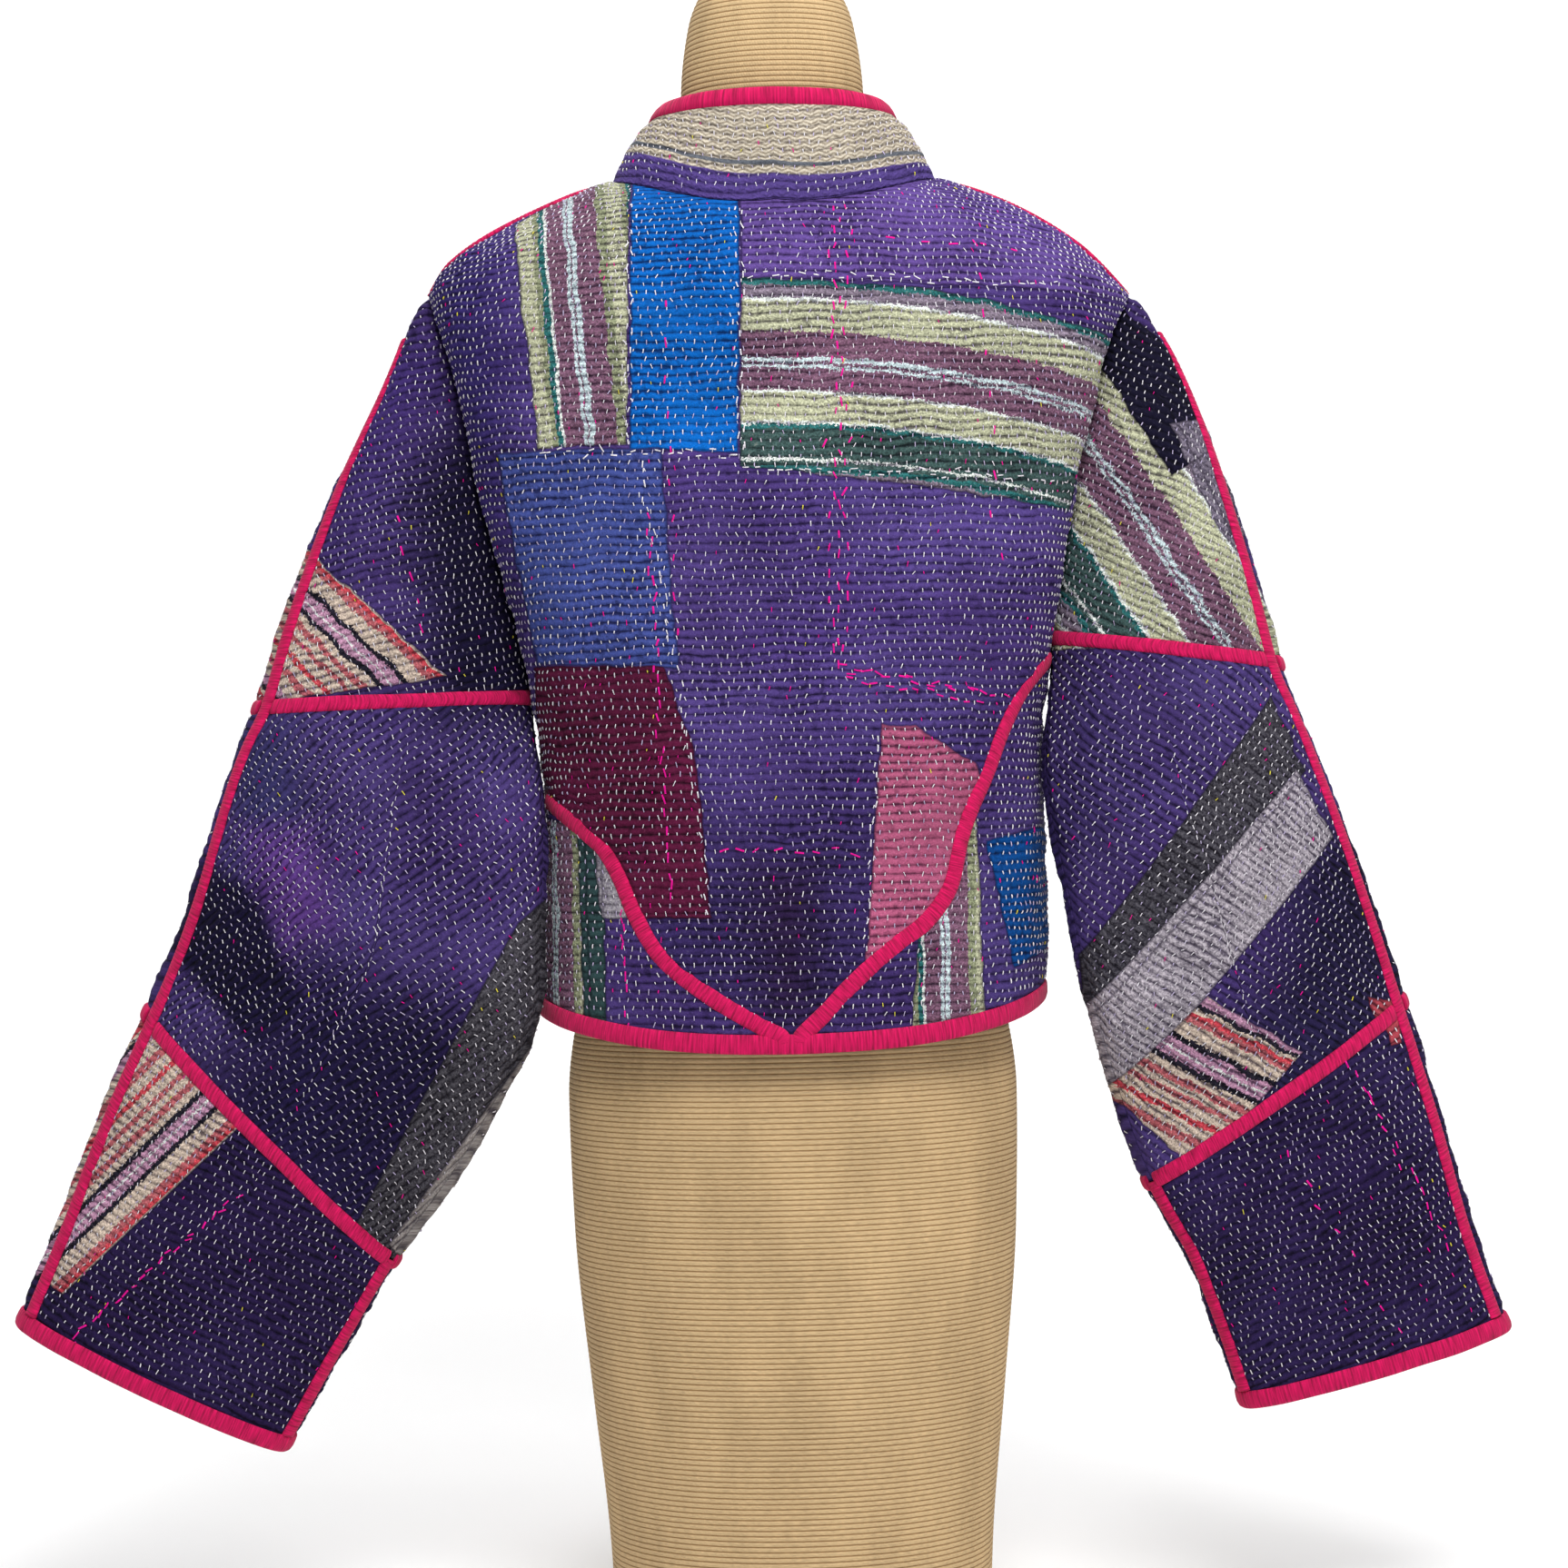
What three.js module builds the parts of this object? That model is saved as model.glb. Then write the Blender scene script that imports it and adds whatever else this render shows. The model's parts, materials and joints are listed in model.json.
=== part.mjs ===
// A cropped kantha-quilt jacket with a stand collar and wide pieced sleeves,
// standing on a limbless dress form. Millimetres, +Z up. The wearer faces -Y,
// so the back of the jacket faces +Y and the wearer's left side is +X.
// The origin is the centre of the dress form's flat base.
import * as THREE from "three";

// ---------------------------------------------------------------- sizes
const WALL = 2.5; // quilt thickness
const GROOVE = 0.9; // depth of the grooves between quilted ridges
const ROW_STEP = 10; // from a ridge to the groove beside it
const SEAM_GAP = 0.8; // clear space between two panels at a seam
const HEM_Q = 385; // height of the hem at the side seams
const BINDING_WIDTH = 9;
const BINDING_THICKNESS = 4;
const BINDING_GAP = 0.5; // from the cloth's seam line to the binding
const TAPE_WIDTH = 10;
const TAPE_THICKNESS = 1.2;
const TAPE_MEETING = TAPE_WIDTH / 2 + 2.5; // a tape's end from a seam that has a tape too
const CURVED_TAPE_START = { back: 6, front: 1 }; // from the hem binding
const CURVED_TAPE_END = 7;
const TAPE_LIFT = 1.2; // clear space under a tape
const ROOF_Q = 775; // from here up the cloth turns over the shoulders
const ROOF_ROWS = 10;
const BACK_DIP = 24; // the hem hangs lower at the back centre
const DIP_FADE = 120;
const NECK_HALF_WIDTH = 100;
const SEAM_BACK = 18; // the shoulder seam lies this far behind the ridge
const SEAM_BACK_FADE = 35; // over which it comes back to the ridge at the neck
const NECK_DEPTH = { back: 72, front: 88 };
const SECTION_POWER = 2.4; // roundness of the body's horizontal section
const FRONT_OPENING = { hem: 8, neck: 2 }; // half the space between the fronts
const UNDERARM_ROW = { left: 19, right: 22 };
const SEAM_TOP_ROW = { left: 13, right: 21 };
const SEAM_ANGLE = 27 * Math.PI / 180; // outer sleeve seam, turned to the back
const UNDERARM_ANGLE = 14 * Math.PI / 180; // the underarm seam likewise, lower down
const SLEEVE_POWER = 2.2;
const SLEEVE_COLUMNS = 5; // in each half of a sleeve
const INNER_EVERY = 4; // the plain inside takes every fourth row

const SIDES = ["left", "right"];
const SIGN = { left: 1, right: -1 };

// ---------------------------------------------------------------- tables
// Half width of the body at each height: side seam, then armhole line.
const HALF_WIDTH = {
  left: [
    { z: 361, x: 157 }, { z: 440, x: 151 }, { z: 513, x: 148 }, { z: 577, x: 154 },
    { z: 640, x: 167 }, { z: 701, x: 182 }, { z: 774, x: 197 }, { z: 803, x: 206 },
    { z: 822, x: 213 },
  ],
  right: [
    { z: 361, x: 153 }, { z: 440, x: 157 }, { z: 540, x: 156 }, { z: 605, x: 164 },
    { z: 672, x: 174 }, { z: 705, x: 180 }, { z: 754, x: 192 }, { z: 783, x: 200 },
    { z: 814, x: 216 },
  ],
};
// Depth from the side line to the centre of the back and the front.
const DEPTH = [
  { z: 361, back: 124, front: 120 }, { z: 450, back: 118, front: 116 },
  { z: 560, back: 113, front: 116 }, { z: 680, back: 110, front: 118 },
  { z: 775, back: 100, front: 100 },
];
// How far the armhole edge stands off the side line, from underarm to shoulder tip.
const ARMHOLE_OFF = [
  { f: 0, y: 0 }, { f: 0.12, y: 11 }, { f: 0.3, y: 21 }, { f: 0.55, y: 25 },
  { f: 0.8, y: 21 }, { f: 0.93, y: 11 }, { f: 1, y: 0 },
];
// Height of the shoulder ridge across the body, going on unseen over the neck.
const RIDGE = {
  left: [
    { x: 0, z: 907 }, { x: 100, z: 889 }, { x: 156, z: 868 }, { x: 198, z: 843 },
    { x: 213, z: 822 },
  ],
  right: [
    { x: 0, z: 907 }, { x: 100, z: 887 }, { x: 139, z: 873 }, { x: 183, z: 847 },
    { x: 216, z: 814 },
  ],
};
// Curved seam between the back and a side panel: distance from the centre line.
const CURVED_SEAM = {
  left: [
    { q: 394, x: 5 }, { q: 402, x: 22 }, { q: 412, x: 43 }, { q: 434, x: 77 },
    { q: 453, x: 90 }, { q: 470, x: 98 }, { q: 485, x: 108 }, { q: 495, x: 121 },
    { q: 515, x: 149 },
  ],
  right: [
    { q: 394, x: 5 }, { q: 406, x: 20 }, { q: 421, x: 38 }, { q: 436, x: 61 },
    { q: 447, x: 80 }, { q: 465, x: 95 }, { q: 488, x: 102 }, { q: 524, x: 119 },
    { q: 548, x: 129 }, { q: 570, x: 141 }, { q: 595, x: 164 },
  ],
};
const FRONT_SEAM_REACH = 0.72; // the front's curved seam stops short of the opening

// Sleeve stations: t 0 at the shoulder tip, 1 and 2 at the cross seams, 3 at the
// cuff. ox, oz: outer edge. ix, iy, iz: underarm edge (from station 1 down; above
// it the armhole is the edge). depth: half the sleeve's thickness.
const SLEEVE = {
  left: [
    { t: 0, ox: 220, oz: 817, oy: 0, depth: 4 },
    { t: 0.2, ox: 238, oz: 773, oy: 3, depth: 24 },
    { t: 0.5, ox: 275, oz: 700, oy: 8, depth: 36 },
    { t: 0.8, ox: 306, oz: 626, oy: 11, depth: 39 },
    { t: 1, ox: 324, oz: 572, oy: 12, ix: 154, iy: 0, iz: 575, depth: 40 },
    { t: 1.05, ox: 327, oz: 564, oy: 12, ix: 155, iy: 8, iz: 560, depth: 40 },
    { t: 1.12, ox: 332, oz: 551, oy: 13, ix: 151, iy: 29, iz: 537, depth: 40 },
    { t: 1.25, ox: 340, oz: 527, oy: 16, ix: 146, iy: 58, iz: 493, depth: 38 },
    { t: 1.5, ox: 355, oz: 480, oy: 20, ix: 147, iy: 78, iz: 404, depth: 36 },
    { t: 1.75, ox: 372, oz: 434, oy: 20, ix: 185, iy: 64, iz: 316, depth: 36 },
    { t: 2, ox: 393, oz: 389, oy: 20, ix: 242, iy: 40, iz: 236, depth: 36 },
    { t: 2.33, ox: 421, oz: 329, oy: 20, ix: 268, iy: 36, iz: 195, depth: 35 },
    { t: 2.67, ox: 448, oz: 262, oy: 20, ix: 292, iy: 33, iz: 156, depth: 33 },
    { t: 3, ox: 478, oz: 194, oy: 20, ix: 312, iy: 30, iz: 122, depth: 32 },
  ],
  right: [
    { t: 0, ox: 223, oz: 809, oy: 0, depth: 4 },
    { t: 0.2, ox: 245, oz: 769, oy: 3, depth: 24 },
    { t: 0.5, ox: 272, oz: 700, oy: 8, depth: 36 },
    { t: 0.8, ox: 293, oz: 630, oy: 11, depth: 39 },
    { t: 1, ox: 304, oz: 586, oy: 12, ix: 164, iy: 0, iz: 605, depth: 40 },
    { t: 1.05, ox: 307, oz: 575, oy: 12, ix: 165, iy: 8, iz: 590, depth: 40 },
    { t: 1.12, ox: 312, oz: 559, oy: 13, ix: 161, iy: 29, iz: 567, depth: 39 },
    { t: 1.25, ox: 322, oz: 530, oy: 16, ix: 156, iy: 50, iz: 524, depth: 38 },
    { t: 1.5, ox: 341, oz: 475, oy: 20, ix: 166, iy: 66, iz: 446, depth: 36 },
    { t: 1.75, ox: 357, oz: 428, oy: 20, ix: 184, iy: 60, iz: 360, depth: 36 },
    { t: 2, ox: 373, oz: 380, oy: 20, ix: 212, iy: 42, iz: 274, depth: 36 },
    { t: 2.33, ox: 393, oz: 311, oy: 20, ix: 236, iy: 38, iz: 230, depth: 35 },
    { t: 2.67, ox: 411, oz: 243, oy: 20, ix: 254, iy: 34, iz: 184, depth: 33 },
    { t: 3, ox: 435, oz: 173, oy: 20, ix: 270, iy: 30, iz: 134, depth: 32 },
  ],
};
const MIDDLE_ROWS = { left: 36, right: 34 };
const LOWER_ROWS = { left: 20, right: 20 };

// Largest soft folds of the body: a trough or ridge along a line from (x1, z1)
// to (x2, z2), side 1 on the back and -1 on the front.
const FOLDS = [
  { side: 1, x1: -6, z1: 500, x2: -2, z2: 372, wide: 16, deep: -6 },
  { side: 1, x1: 95, z1: 660, x2: 70, z2: 500, wide: 34, deep: 6 },
  { side: 1, x1: 48, z1: 640, x2: 40, z2: 500, wide: 24, deep: -4 },
  { side: 1, x1: -95, z1: 640, x2: -62, z2: 470, wide: 30, deep: 4 },
  { side: -1, x1: 70, z1: 640, x2: 62, z2: 430, wide: 30, deep: 6 },
  { side: -1, x1: -74, z1: 620, x2: -66, z2: 420, wide: 30, deep: 6 },
];

// Dress form sections: half width and half depth, and how far back the centre lies.
const FORM = [
  { z: 0, wide: 115, deep: 95, y: 0 }, { z: 60, wide: 118, deep: 97, y: 0 },
  { z: 150, wide: 127, deep: 102, y: 0 }, { z: 250, wide: 136, deep: 106, y: 0 },
  { z: 330, wide: 138, deep: 106, y: 0 }, { z: 410, wide: 126, deep: 98, y: -1 },
  { z: 480, wide: 112, deep: 88, y: -2 }, { z: 540, wide: 112, deep: 88, y: -2 },
  { z: 610, wide: 124, deep: 96, y: -4 }, { z: 680, wide: 140, deep: 100, y: -6 },
  { z: 735, wide: 156, deep: 94, y: -4 }, { z: 780, wide: 172, deep: 84, y: 0 },
  { z: 808, wide: 176, deep: 74, y: 2 }, { z: 828, wide: 160, deep: 66, y: 3 },
  { z: 846, wide: 132, deep: 60, y: 3 }, { z: 862, wide: 98, deep: 54, y: 2 },
  { z: 878, wide: 72, deep: 51, y: 0 }, { z: 900, wide: 58, deep: 50, y: 0 },
  { z: 950, wide: 56, deep: 50, y: 0 }, { z: 985, wide: 51, deep: 47, y: 0 },
  { z: 1003, wide: 44, deep: 41, y: 0 }, { z: 1013, wide: 32, deep: 30, y: 0 },
];
const FORM_TOP = 1018;
const FORM_SIDES = 24;

// ---------------------------------------------------------------- curves
// Smooth value of a table's column at a key, with no overshoot between rows.
function along(table, keyName, key, column) {
  const rows = table.filter((row) => row[column] !== undefined);
  const last = rows.length - 1;
  if (key <= rows[0][keyName]) {
    return rows[0][column];
  }
  if (key >= rows[last][keyName]) {
    return rows[last][column];
  }
  let i = 0;
  while (rows[i + 1][keyName] < key) {
    i += 1;
  }
  const slope = (a) => {
    const step = rows[a + 1][keyName] - rows[a][keyName];
    return (rows[a + 1][column] - rows[a][column]) / step;
  };
  const tangent = (a) => {
    if (a === 0) {
      return slope(0);
    }
    if (a === last) {
      return slope(last - 1);
    }
    const before = slope(a - 1);
    const after = slope(a);
    return before * after <= 0 ? 0 : (2 * before * after) / (before + after);
  };
  const step = rows[i + 1][keyName] - rows[i][keyName];
  const f = (key - rows[i][keyName]) / step;
  const g = 1 - f;
  return rows[i][column] * (1 + 2 * f) * g * g
    + tangent(i) * step * f * g * g
    + rows[i + 1][column] * f * f * (3 - 2 * f)
    - tangent(i + 1) * step * f * f * g;
}

const mix = (a, b, f) => a + (b - a) * f;
const power = (value, p) => Math.sign(value) * Math.abs(value) ** p;

// ---------------------------------------------------------------- body surface
const DROP_ROWS = Math.round((ROOF_Q - HEM_Q) / ROW_STEP);
const TOP_ROW = DROP_ROWS + ROOF_ROWS;
const tipWidth = (side) => HALF_WIDTH[side].at(-1).x;
const underarmQ = (side) => HEM_Q + UNDERARM_ROW[side] * ROW_STEP;

// Angle from a side line (0) to the centre of the back or front (a quarter turn),
// given by the share of the half width that the point lies out from the centre.
const angleOfShare = (share) => Math.acos(Math.min(1, share) ** (SECTION_POWER / 2));

function armholeOff(side, z) {
  const low = underarmQ(side);
  const tip = HALF_WIDTH[side].at(-1).z;
  return along(ARMHOLE_OFF, "f", (z - low) / (tip - low), "y");
}

function foldDepth(face, x, z) {
  let depth = 0;
  for (const fold of FOLDS) {
    const dx = fold.x2 - fold.x1;
    const dz = fold.z2 - fold.z1;
    const long = Math.hypot(dx, dz);
    const f = ((x - fold.x1) * dx + (z - fold.z1) * dz) / (long * long);
    const off = ((x - fold.x1) * dz - (z - fold.z1) * dx) / long;
    if (fold.side === face && f > 0 && f < 1) {
      const swell = Math.sin(Math.PI * Math.min(1, f * 1.4 > 1 ? 0.5 + (f - 0.714) * 1.75 : f * 0.7));
      depth += fold.deep * swell * Math.exp(-((off / fold.wide) ** 2));
    }
  }
  return depth;
}

const smooth = (f) => {
  const within = Math.max(0, Math.min(1, f));
  return within * within * (3 - 2 * within);
};

// How far behind the ridge the shoulder seam lies: none at the neck or at the tip.
const seamBehind = (topX, swell) => (
  SEAM_BACK * smooth((topX - NECK_HALF_WIDTH) / SEAM_BACK_FADE) * smooth(swell * 1.5));

// A point of the body at an angle and a row; rows past DROP_ROWS turn over the
// shoulder and end on its seam, or on the neckline where that comes first.
function bodyPoint(side, face, angle, row) {
  const faceName = face > 0 ? "back" : "front";
  const share = Math.max(0, Math.cos(angle)) ** (2 / SECTION_POWER);
  const swell = Math.sin(angle) ** (2 / SECTION_POWER);
  const q = HEM_Q + Math.min(row, DROP_ROWS) * ROW_STEP;
  const dipFade = Math.max(0, 1 - (q - HEM_Q) / DIP_FADE);
  let z = q - BACK_DIP * swell * swell * dipFade;
  const edge = armholeOff(side, z);
  let y = edge + (along(DEPTH, "z", z, faceName) - edge) * swell;
  if (row > DROP_ROWS) {
    const topX = tipWidth(side) * share;
    const rise = along(RIDGE[side], "x", topX, "z") - ROOF_Q;
    const neckShare = Math.min(1, topX / NECK_HALF_WIDTH);
    const neckY = NECK_DEPTH[faceName] * Math.sqrt(1 - neckShare * neckShare);
    const [roofDepth, backDepth] = [faceName, "back"].map((name) => (
      mix(armholeOff(side, ROOF_Q), along(DEPTH, "z", ROOF_Q, name), swell)));
    const seam = Math.acos(seamBehind(topX, swell) / backDepth);
    const overRidge = face > 0 ? seam : Math.PI - seam;
    const last = neckY > 0 ? Math.acos(Math.min(1, neckY / roofDepth)) : overRidge;
    const turn = last * (row - DROP_ROWS) / ROOF_ROWS;
    z = ROOF_Q + rise * Math.sin(turn);
    y = (turn > Math.PI / 2 ? backDepth : roofDepth) * Math.cos(turn);
  }
  const x = SIGN[side] * along(HALF_WIDTH[side], "z", z, "x") * share;
  return new THREE.Vector3(x, face * (y + swell * foldDepth(face, x, z)), z);
}

// Angles of the columns from a side line to the centre, given by the share of the
// half width at the shoulder: three on the shoulder, then round the neckline.
function columnAngles(side) {
  const neckShare = NECK_HALF_WIDTH / tipWidth(side);
  const shares = [1, mix(neckShare, 1, 0.84), mix(neckShare, 1, 0.45), neckShare];
  for (const quarter of [1, 2, 3, 4]) {
    shares.push(neckShare * Math.cos(quarter * Math.PI / 8));
  }
  return shares.map(angleOfShare);
}

// Where a curved seam cuts a panel's side away, the columns near it crowd together
// and the ones near the centre stay where they are.
function crowded(angle, near, far) {
  const crowding = Math.max(1, Math.min(2.5, 0.9 * far / Math.max(near, 0.01)));
  const f = angle / (Math.PI / 2);
  return f * far + near * (1 - f) ** crowding;
}

// Angle from the side line to the curved seam, and to a front panel's edge.
function seamAngle(side, row) {
  const q = HEM_Q + row * ROW_STEP;
  if (row >= SEAM_TOP_ROW[side]) {
    return 0;
  }
  const x = along(CURVED_SEAM[side], "q", q, "x");
  return angleOfShare(x / along(HALF_WIDTH[side], "z", q, "x"));
}

function frontEdgeAngle(side, row) {
  const half = mix(FRONT_OPENING.hem, FRONT_OPENING.neck, row / TOP_ROW) + BINDING_WIDTH;
  const q = HEM_Q + Math.min(row, DROP_ROWS) * ROW_STEP;
  const width = row > DROP_ROWS ? tipWidth(side) : along(HALF_WIDTH[side], "z", q, "x");
  return angleOfShare(half / width);
}

// ---------------------------------------------------------------- panels as grids
// A panel is a grid of points: rows upward, columns anticlockwise seen from above.
const panels = {};
const bodyRows = [BINDING_WIDTH / ROW_STEP]; // the cloth starts above the hem binding
for (let row = 2; row <= TOP_ROW; row += 1) {
  bodyRows.push(row);
}

function makeBackPanel() {
  return bodyRows.map((row) => {
    const half = (side) => columnAngles(side).map((angle) => {
      const placed = crowded(angle, seamAngle(side, row), Math.PI / 2);
      return bodyPoint(side, 1, placed, row);
    });
    return [...half("left"), ...half("right").reverse().slice(1)];
  });
}

function makeFrontPanel(side) {
  return bodyRows.map((row) => {
    const near = FRONT_SEAM_REACH * seamAngle(side, row);
    const points = columnAngles(side).map((angle) => {
      const placed = crowded(angle, near, frontEdgeAngle(side, row));
      return bodyPoint(side, -1, placed, row);
    });
    return side === "left" ? points.reverse() : points;
  });
}

const SIDE_COLUMNS = 8;
const SIDE_TIP = 0.85; // share of the way to the point where back and front meet
function makeSidePanel(side) {
  const rows = bodyRows.filter((row) => row < SEAM_TOP_ROW[side]);
  const grid = rows.map((row) => {
    const toBack = seamAngle(side, row);
    const points = [];
    for (let c = 0; c <= SIDE_COLUMNS; c += 1) {
      const angle = mix(-FRONT_SEAM_REACH * toBack, toBack, c / SIDE_COLUMNS);
      points.push(bodyPoint(side, Math.sign(angle), Math.abs(angle), row));
    }
    return side === "left" ? points : points.reverse();
  });
  const tip = bodyPoint(side, 1, 0, SEAM_TOP_ROW[side]);
  const last = grid.at(-1);
  const middle = last[SIDE_COLUMNS / 2];
  grid.push(last.map((point) => {
    const drawn = point.clone().lerp(tip, SIDE_TIP);
    return drawn.lerp(middle.clone().lerp(tip, SIDE_TIP), 0.5);
  }));
  return grid;
}

// A point of a sleeve: t along it, s from the outer seam (0) to the underarm edge
// (1), face 1 on the back half and -1 on the front half.
function sleevePoint(side, face, t, s) {
  const sign = SIGN[side];
  const at = (column) => along(SLEEVE[side], "t", t, column);
  const outer = new THREE.Vector3(sign * at("ox"), at("oy"), at("oz"));
  const depth = at("depth");
  let inner = new THREE.Vector3(sign * at("ix"), at("iy"), at("iz"));
  let closing = Math.PI - UNDERARM_ANGLE * Math.min(1, Math.max(0, (t - 1.2) / 0.8));
  let frontClosing = closing - 2 * Math.PI;
  let edge = null;
  if (t <= 1) {
    const row = mix(TOP_ROW, UNDERARM_ROW[side], t);
    edge = bodyPoint(side, face, 0, row);
    inner = new THREE.Vector3(edge.x, 0, edge.z);
    closing = Math.PI - Math.asin(Math.min(0.75, Math.abs(edge.y) / depth));
    frontClosing = -closing;
  }
  const chord = outer.clone().sub(inner);
  const half = chord.length() / (t <= 1 ? 1 - Math.cos(closing) : 2);
  const ahead = chord.normalize();
  const centre = outer.clone().addScaledVector(ahead, -half);
  const across = new THREE.Vector3(0, 1, 0).addScaledVector(ahead, -ahead.y).normalize();
  const place = (share) => {
    const angle = mix(SEAM_ANGLE, face > 0 ? closing : frontClosing, share);
    return centre.clone()
      .addScaledVector(ahead, half * power(Math.cos(angle), 2 / SLEEVE_POWER))
      .addScaledVector(across, depth * power(Math.sin(angle), 2 / SLEEVE_POWER));
  };
  const point = place(s);
  if (edge) {
    point.add(edge.sub(place(1)).multiplyScalar(s * s));
  }
  return point;
}

function makeSleevePiece(side, face, stations) {
  const clockwise = (side === "left") === (face > 0);
  return stations.map((t) => {
    const points = [];
    for (let c = 0; c <= SLEEVE_COLUMNS; c += 1) {
      const s = clockwise ? c / SLEEVE_COLUMNS : 1 - c / SLEEVE_COLUMNS;
      points.push(sleevePoint(side, face, t, s));
    }
    return points;
  });
}

// Stations from the bottom edge up, so that rows run upward as on the body.
function stationsBetween(low, high, count) {
  const list = [];
  for (let i = 0; i <= count; i += 1) {
    list.push(mix(low, high, i / count));
  }
  return list;
}

function cuffStations(side) {
  const length = SLEEVE[side].find((row) => row.t === 2).oz - SLEEVE[side].at(-1).oz;
  return stationsBetween(3 - 1.5 * BINDING_WIDTH / length, 2, LOWER_ROWS[side]);
}

// The collar leans in from the neckline to its top edge.
const COLLAR_TOP = { wide: 70, back: 61, front: 64, backZ: 936, sideZ: 933, frontZ: 893 };
const COLLAR_ROWS = 6;
function makeCollar() {
  const takeEnd = (name) => {
    const top = panels[name].grid.at(-1);
    return top.filter((point) => Math.abs(point.x) < NECK_HALF_WIDTH + 0.01);
  };
  const rightFront = takeEnd("front_panel_right");
  const leftFront = takeEnd("front_panel_left");
  const back = takeEnd("back_panel");
  const ring = [...leftFront, ...back.slice(1), ...rightFront.slice(1)];
  const rows = [];
  for (let r = 0; r <= COLLAR_ROWS; r += 1) {
    rows.push(ring.map((base) => {
      const turn = Math.atan2(base.y / (base.y > 0 ? NECK_DEPTH.back : NECK_DEPTH.front),
        base.x / NECK_HALF_WIDTH);
      const up = Math.sin(turn);
      const topY = up * (up > 0 ? COLLAR_TOP.back : COLLAR_TOP.front);
      const topZ = mix(COLLAR_TOP.sideZ, up > 0 ? COLLAR_TOP.backZ : COLLAR_TOP.frontZ, up * up);
      const edge = up > 0 ? 0 : Math.sign(base.x) * (FRONT_OPENING.neck + BINDING_WIDTH);
      const narrowing = (COLLAR_TOP.wide - Math.abs(edge)) / (NECK_HALF_WIDTH - Math.abs(edge));
      const top = new THREE.Vector3(edge + (base.x - edge) * narrowing, topY, topZ);
      const share = r / COLLAR_ROWS * (1 - BINDING_WIDTH / 60);
      const point = base.clone().lerp(top, share);
      point.z += 3 * Math.sin(Math.PI * share);
      return point;
    }));
  }
  return rows;
}

// ---------------------------------------------------------------- walls
// rowNumbers say which rows are grooves (odd) and which the plain inside keeps, so
// that two panels agree along the seam that they share.
// From bendRow up, where an edge bends strongly, the inside keeps twice as many.
function addPanel(name, grid, look, rowNumbers, bendRow = Infinity) {
  panels[name] = { name, grid, look, rowNumbers: rowNumbers.slice(0, grid.length), bendRow };
}

addPanel("back_panel", makeBackPanel(), "quilt", bodyRows);
for (const side of SIDES) {
  addPanel(`front_panel_${side}`, makeFrontPanel(side), "quilt", bodyRows);
  addPanel(`side_panel_${side}`, makeSidePanel(side), "quilt", bodyRows);
}
for (const side of SIDES) {
  for (const face of [1, -1]) {
    const faceName = face > 0 ? "back" : "front";
    const firstRow = { upper: UNDERARM_ROW[side], middle: 0, lower: 0 };
    const pieces = {
      upper: stationsBetween(1, 0, TOP_ROW - UNDERARM_ROW[side]),
      middle: stationsBetween(2, 1, MIDDLE_ROWS[side]),
      lower: cuffStations(side),
    };
    for (const [part, stations] of Object.entries(pieces)) {
      const rowNumbers = stations.map((_, r) => r + firstRow[part]);
      const name = `sleeve_${side}_${part}_${faceName}`;
      const bendRow = part === "middle" ? MIDDLE_ROWS[side] - 12 : Infinity;
      addPanel(name, makeSleevePiece(side, face, stations), "quilt", rowNumbers, bendRow);
    }
  }
}
const collarRows = [...Array(COLLAR_ROWS + 1).keys()];
addPanel("collar", makeCollar(), "collar", collarRows);
const SEAM_BEND_ROWS = [6, 10]; // where the curved seams turn most
const KEPT_ROWS = new Set([
  ...Object.values(UNDERARM_ROW), ...Object.values(SEAM_TOP_ROW), ...SEAM_BEND_ROWS,
]);

// Normals of each panel's points, shared where panels meet.
function gridNormals(grid) {
  const rows = grid.length;
  const columns = grid[0].length;
  return grid.map((line, r) => line.map((point, c) => {
    const up = grid[Math.min(r + 1, rows - 1)][c].clone().sub(grid[Math.max(r - 1, 0)][c]);
    const round = line[Math.min(c + 1, columns - 1)].clone().sub(line[Math.max(c - 1, 0)]);
    return round.cross(up).normalize();
  }));
}

const keyOf = (point) => [point.x, point.y, point.z].map((v) => Math.round(v * 20)).join(",");
const shared = new Map();
for (const panel of Object.values(panels)) {
  panel.normals = gridNormals(panel.grid);
  panel.grid.forEach((line, r) => line.forEach((point, c) => {
    const key = keyOf(point);
    if (!shared.has(key)) {
      shared.set(key, []);
    }
    shared.get(key).push({ panel, r, c });
  }));
}
for (const users of shared.values()) {
  const sum = new THREE.Vector3();
  users.forEach((user) => sum.add(user.panel.normals[user.r][user.c]));
  sum.normalize();
  users.forEach((user) => {
    const own = user.panel.normals[user.r][user.c];
    user.mitre = sum.clone().multiplyScalar(1 / Math.max(0.72, sum.dot(own)));
  });
  users.forEach((user) => {
    user.panel.normals[user.r][user.c] = user.mitre;
  });
}

// Draw each panel's border in, so that neighbours stay clear of each other.
function drawIn(panel) {
  const { grid } = panel;
  const rows = grid.length;
  const columns = grid[0].length;
  return grid.map((line, r) => line.map((point, c) => {
    const moved = point.clone();
    const towards = [];
    if (r === 0 || r === rows - 1) {
      towards.push(grid[r === 0 ? 1 : rows - 2][c]);
    }
    if (c === 0 || c === columns - 1) {
      towards.push(line[c === 0 ? 1 : columns - 2]);
    }
    towards.forEach((aim) => {
      const way = aim.clone().sub(point);
      moved.addScaledVector(way.normalize(), SEAM_GAP / 2);
    });
    return moved;
  }));
}

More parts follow.
